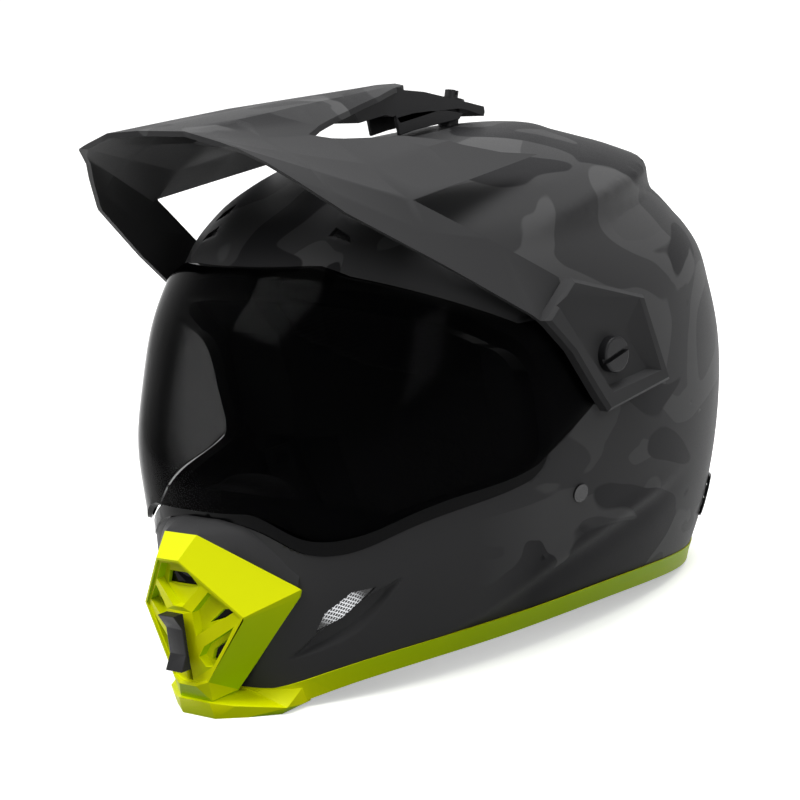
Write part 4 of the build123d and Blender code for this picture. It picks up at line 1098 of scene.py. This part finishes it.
def fill_pad(name, voxel, shrink, swell, channels=()):
    """A stuffed cloth pad in the place of a CAD pad: remeshed, drawn in, then blown up by cloth."""
    pad = bpy.data.objects.new(name + "_stuffed", NODES[name].data.copy())
    scene.collection.objects.link(pad)
    remesh = pad.modifiers.new("remesh", "REMESH")
    remesh.mode = "VOXEL"
    remesh.voxel_size = voxel
    mesh = baked(pad)
    pad.data = mesh
    made = bmesh.new()
    made.from_mesh(mesh)
    for _ in range(RELAX_ROUNDS):
        relax(made, made.verts)
    made.normal_update()
    for vert in made.verts:
        vert.co -= vert.normal * shrink
    made.to_mesh(mesh)
    made.free()
    points = coordinates(mesh)
    points = blow_up(pad, points, swell)
    press_channels(mesh, points, channels)
    for polygon in mesh.polygons:
        polygon.use_smooth = True
    mesh.materials.clear()
    mesh.materials.append(MATERIALS["cloth"])
    smooth = pad.modifiers.new("smooth", "SUBSURF")
    smooth.levels = 1
    smooth.render_levels = 1
    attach(pad, BODY_OF[name])
    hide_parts(name)


# Pieces

EDGE_WIDTHS = {
    "chin_slider": 0.0004,
    "peak_shell": 0.0006,
    "peak_bracket": 0.0004,
    "eyeport_gasket": 0.0006,
    "face_shield": 0.0005,
}
TRIM_EDGE = 0.0014
HOUSING_EDGE = 0.0006
CHEEK_EDGE = 0.0005
# The part of the trim that is the chin's lip, and how its top falls off outward
LIP_FRONT = -165
LIP_FOOT = 5
LIP_RATIO = 1.016
LIP_FALL = 0.007
LIP_SIDES = (14, 40)
CHANNEL_DEPTH = 0.0022
CROWN_CHANNEL_WIDTH = 0.0022
CHEEK_CHANNEL_WIDTH = 0.0020
# Places of the pads' channels in metres, with y from the pivot axis
CROWN_CHANNELS_X = (0.030, -0.030)
CROWN_CHANNELS_Y = (0.0, 0.06)
CHEEK_CHANNEL_NORMAL = (0, 0.5, 0.87)
CHEEK_CHANNEL_START = -0.0285
CHEEK_CHANNELS_Z = (0.05, 0.075)


def slope_lip(made):
    """Lets the chin lip's top fall away outward at its sides, so that it ends in slanted facets."""
    for vert in made.verts:
        x = abs(vert.co.x) * MM
        y = vert.co.y * MM - SHIFT
        z = vert.co.z * MM
        if y < LIP_FRONT and z > LIP_FOOT:
            outside = reach_ratio(*np.array([[x], [y], [z]]))[0][0] > LIP_RATIO
            vert.co.z -= outside * float(fade(np.array(x), *LIP_SIDES)) * LIP_FALL


def crown_channels():
    """Two channels along the crown pad and two across it."""
    along = [((1, 0, 0), x, CROWN_CHANNEL_WIDTH, CHANNEL_DEPTH) for x in CROWN_CHANNELS_X]
    across = [((0, 1, 0), PIVOT_Y + y, CROWN_CHANNEL_WIDTH, CHANNEL_DEPTH) for y in CROWN_CHANNELS_Y]
    return along + across


def cheek_channels():
    """Two slanted channels across a cheek pad."""
    _, share_y, share_z = CHEEK_CHANNEL_NORMAL
    offsets = [CHEEK_CHANNEL_START + z * share_z + PIVOT_Y * share_y for z in CHEEK_CHANNELS_Z]
    return [(CHEEK_CHANNEL_NORMAL, offset, CHEEK_CHANNEL_WIDTH, CHANNEL_DEPTH) for offset in offsets]


def add_pieces():
    shell = add_piece("shell_skin", shell_skin(), "shell", "shell", "outer_shell")
    smooth_by_angle(shell.data, SHELL_ANGLE)
    dress("base_trim", TRIM_EDGE, slope_lip)
    for name, width in EDGE_WIDTHS.items():
        dress(name, width)
    body = BODY_OF["chin_vent_housing"]
    housing = add_piece("chin_housing_cover", chin_housing(), body, "accent", "chin_vent_housing")
    smooth_by_angle(housing.data, HOUSING_ANGLE)
    bevel(housing, HOUSING_EDGE, HOUSING_ANGLE)
    # Black sheets behind the vent's slots stand in for the shade inside it
    add_piece("chin_vent_painted_shade", vent_painted_shade(), body, "rubber_black")
    ledge = add_piece("chin_ledge", chin_ledge(), "shell", "shell")
    smooth_by_angle(ledge.data, LEDGE_ANGLE)
    cheeks = add_piece("bracket_cheeks", bracket_cheeks(), BODY_OF["peak_bracket"], "black_plastic")
    bevel(cheeks, CHEEK_EDGE)


def add_pads():
    fill_pad("crown_pad", voxel=0.004, shrink=0.0012, swell=0.0012, channels=crown_channels())
    for side in ("left", "right"):
        fill_pad("cheek_pad_" + side, voxel=0.0035, shrink=0.0015, swell=0.0015, channels=cheek_channels())
    fill_pad("neck_roll", voxel=0.003, shrink=0.0012, swell=0.0012)


def finish_nodes():
    """Gives each CAD node that stays the material of its slot."""
    for name, obj in NODES.items():
        if not obj.hide_render:
            obj.data.materials.clear()
            obj.data.materials.append(MATERIALS[SLOT_OF[name]])


# Stage and light

FLOOR_REACH = 30
FLOOR_DARK = (0.90, 0.90, 0.90)
FLOOR_LIGHT = (0.93, 0.93, 0.93)
FLOOR_GLOW = 0.42
# What the floor throws back on the object
FLOOR_BOUNCE = (0.14, 0.14, 0.14, 1)
# The world's light from the horizon, at 0.5, to straight above, at 1
SKY_STOPS = [(0.50, 0.03), (0.66, 0.10), (0.84, 0.75), (0.97, 1.0)]


def background_rays(tree):
    """1 for the rays that show the background: straight from the camera, mirrored or through glass."""
    rays = node(tree, "ShaderNodeLightPath")
    direct = math_node(tree, "MAXIMUM", rays.outputs["Is Camera Ray"], rays.outputs["Is Glossy Ray"])
    return math_node(tree, "MAXIMUM", direct, rays.outputs["Is Transmission Ray"])


def add_floor():
    """A pale floor that takes shadows; from below, the view passes through it."""
    material, tree, shader = new_material("pale_floor")
    tone = noise(tree, objects_at(tree), 3.0, 2.0)
    drive(tree, shader, Base_Color=mix(tree, tone, FLOOR_DARK, FLOOR_LIGHT))
    set_finish(shader, Roughness=0.9, Specular_IOR_Level=0.1)
    glow = node(tree, "ShaderNodeEmission", Color=(1, 1, 1, 1), Strength=FLOOR_GLOW)
    seen = node(tree, "ShaderNodeAddShader", i0=shader.outputs[0], i1=glow.outputs[0])
    dim = node(tree, "ShaderNodeBsdfDiffuse", Color=FLOOR_BOUNCE)
    direct = background_rays(tree)
    above = node(tree, "ShaderNodeMixShader", i0=direct, i1=dim.outputs[0], i2=seen.outputs[0])
    clear = node(tree, "ShaderNodeBsdfTransparent")
    from_below = node(tree, "ShaderNodeNewGeometry").outputs["Backfacing"]
    both = node(tree, "ShaderNodeMixShader", i0=from_below, i1=above.outputs[0], i2=clear.outputs[0])
    drive(tree, tree.nodes["Material Output"], Surface=both.outputs[0])
    mesh = bpy.data.meshes.new("floor")
    corners = [(-FLOOR_REACH, -FLOOR_REACH, 0), (FLOOR_REACH, -FLOOR_REACH, 0),
               (FLOOR_REACH, FLOOR_REACH, 0), (-FLOOR_REACH, FLOOR_REACH, 0)]
    mesh.from_pydata(corners, [], [(0, 1, 2, 3)])
    mesh.materials.append(material)
    floor = bpy.data.objects.new("floor", mesh)
    scene.collection.objects.link(floor)


def add_world():
    """Soft light from above, white where the background shows."""
    world = bpy.data.worlds.new("studio")
    scene.world = world
    world.use_nodes = True
    tree = world.node_tree
    up = split(tree, node(tree, "ShaderNodeTexCoord").outputs["Generated"])["Z"]
    level = ramp(tree, math_node(tree, "MULTIPLY_ADD", up, 0.5, 0.5), SKY_STOPS)
    background = tree.nodes["Background"]
    drive(tree, background, Color=mix(tree, background_rays(tree), level, (1, 1, 1)))
    set_finish(background, Strength=1.0)


def add_area(name, place, aim, size, power):
    data = bpy.data.lights.new(name, "AREA")
    data.shape = "RECTANGLE"
    data.size = size[0]
    data.size_y = size[1]
    data.energy = power
    lamp = bpy.data.objects.new(name, data)
    scene.collection.objects.link(lamp)
    lamp.location = place
    lamp.rotation_mode = "QUATERNION"
    lamp.rotation_quaternion = (Vector(place) - Vector(aim)).to_track_quat("Z", "Y")


add_pieces()
add_pads()
finish_nodes()
add_camera()
add_floor()
add_world()
add_area("key", place=(-0.9, -1.3, 2.0), aim=(0, -0.05, 0.15), size=(1.2, 1.2), power=40)
add_area("top", place=(0.5, 0.3, 2.2), aim=(0, 0, 0.2), size=(1.6, 1.2), power=42)
add_area("side", place=(2.3, -0.9, 0.9), aim=(0, 0, 0.15), size=(0.6, 1.2), power=12)
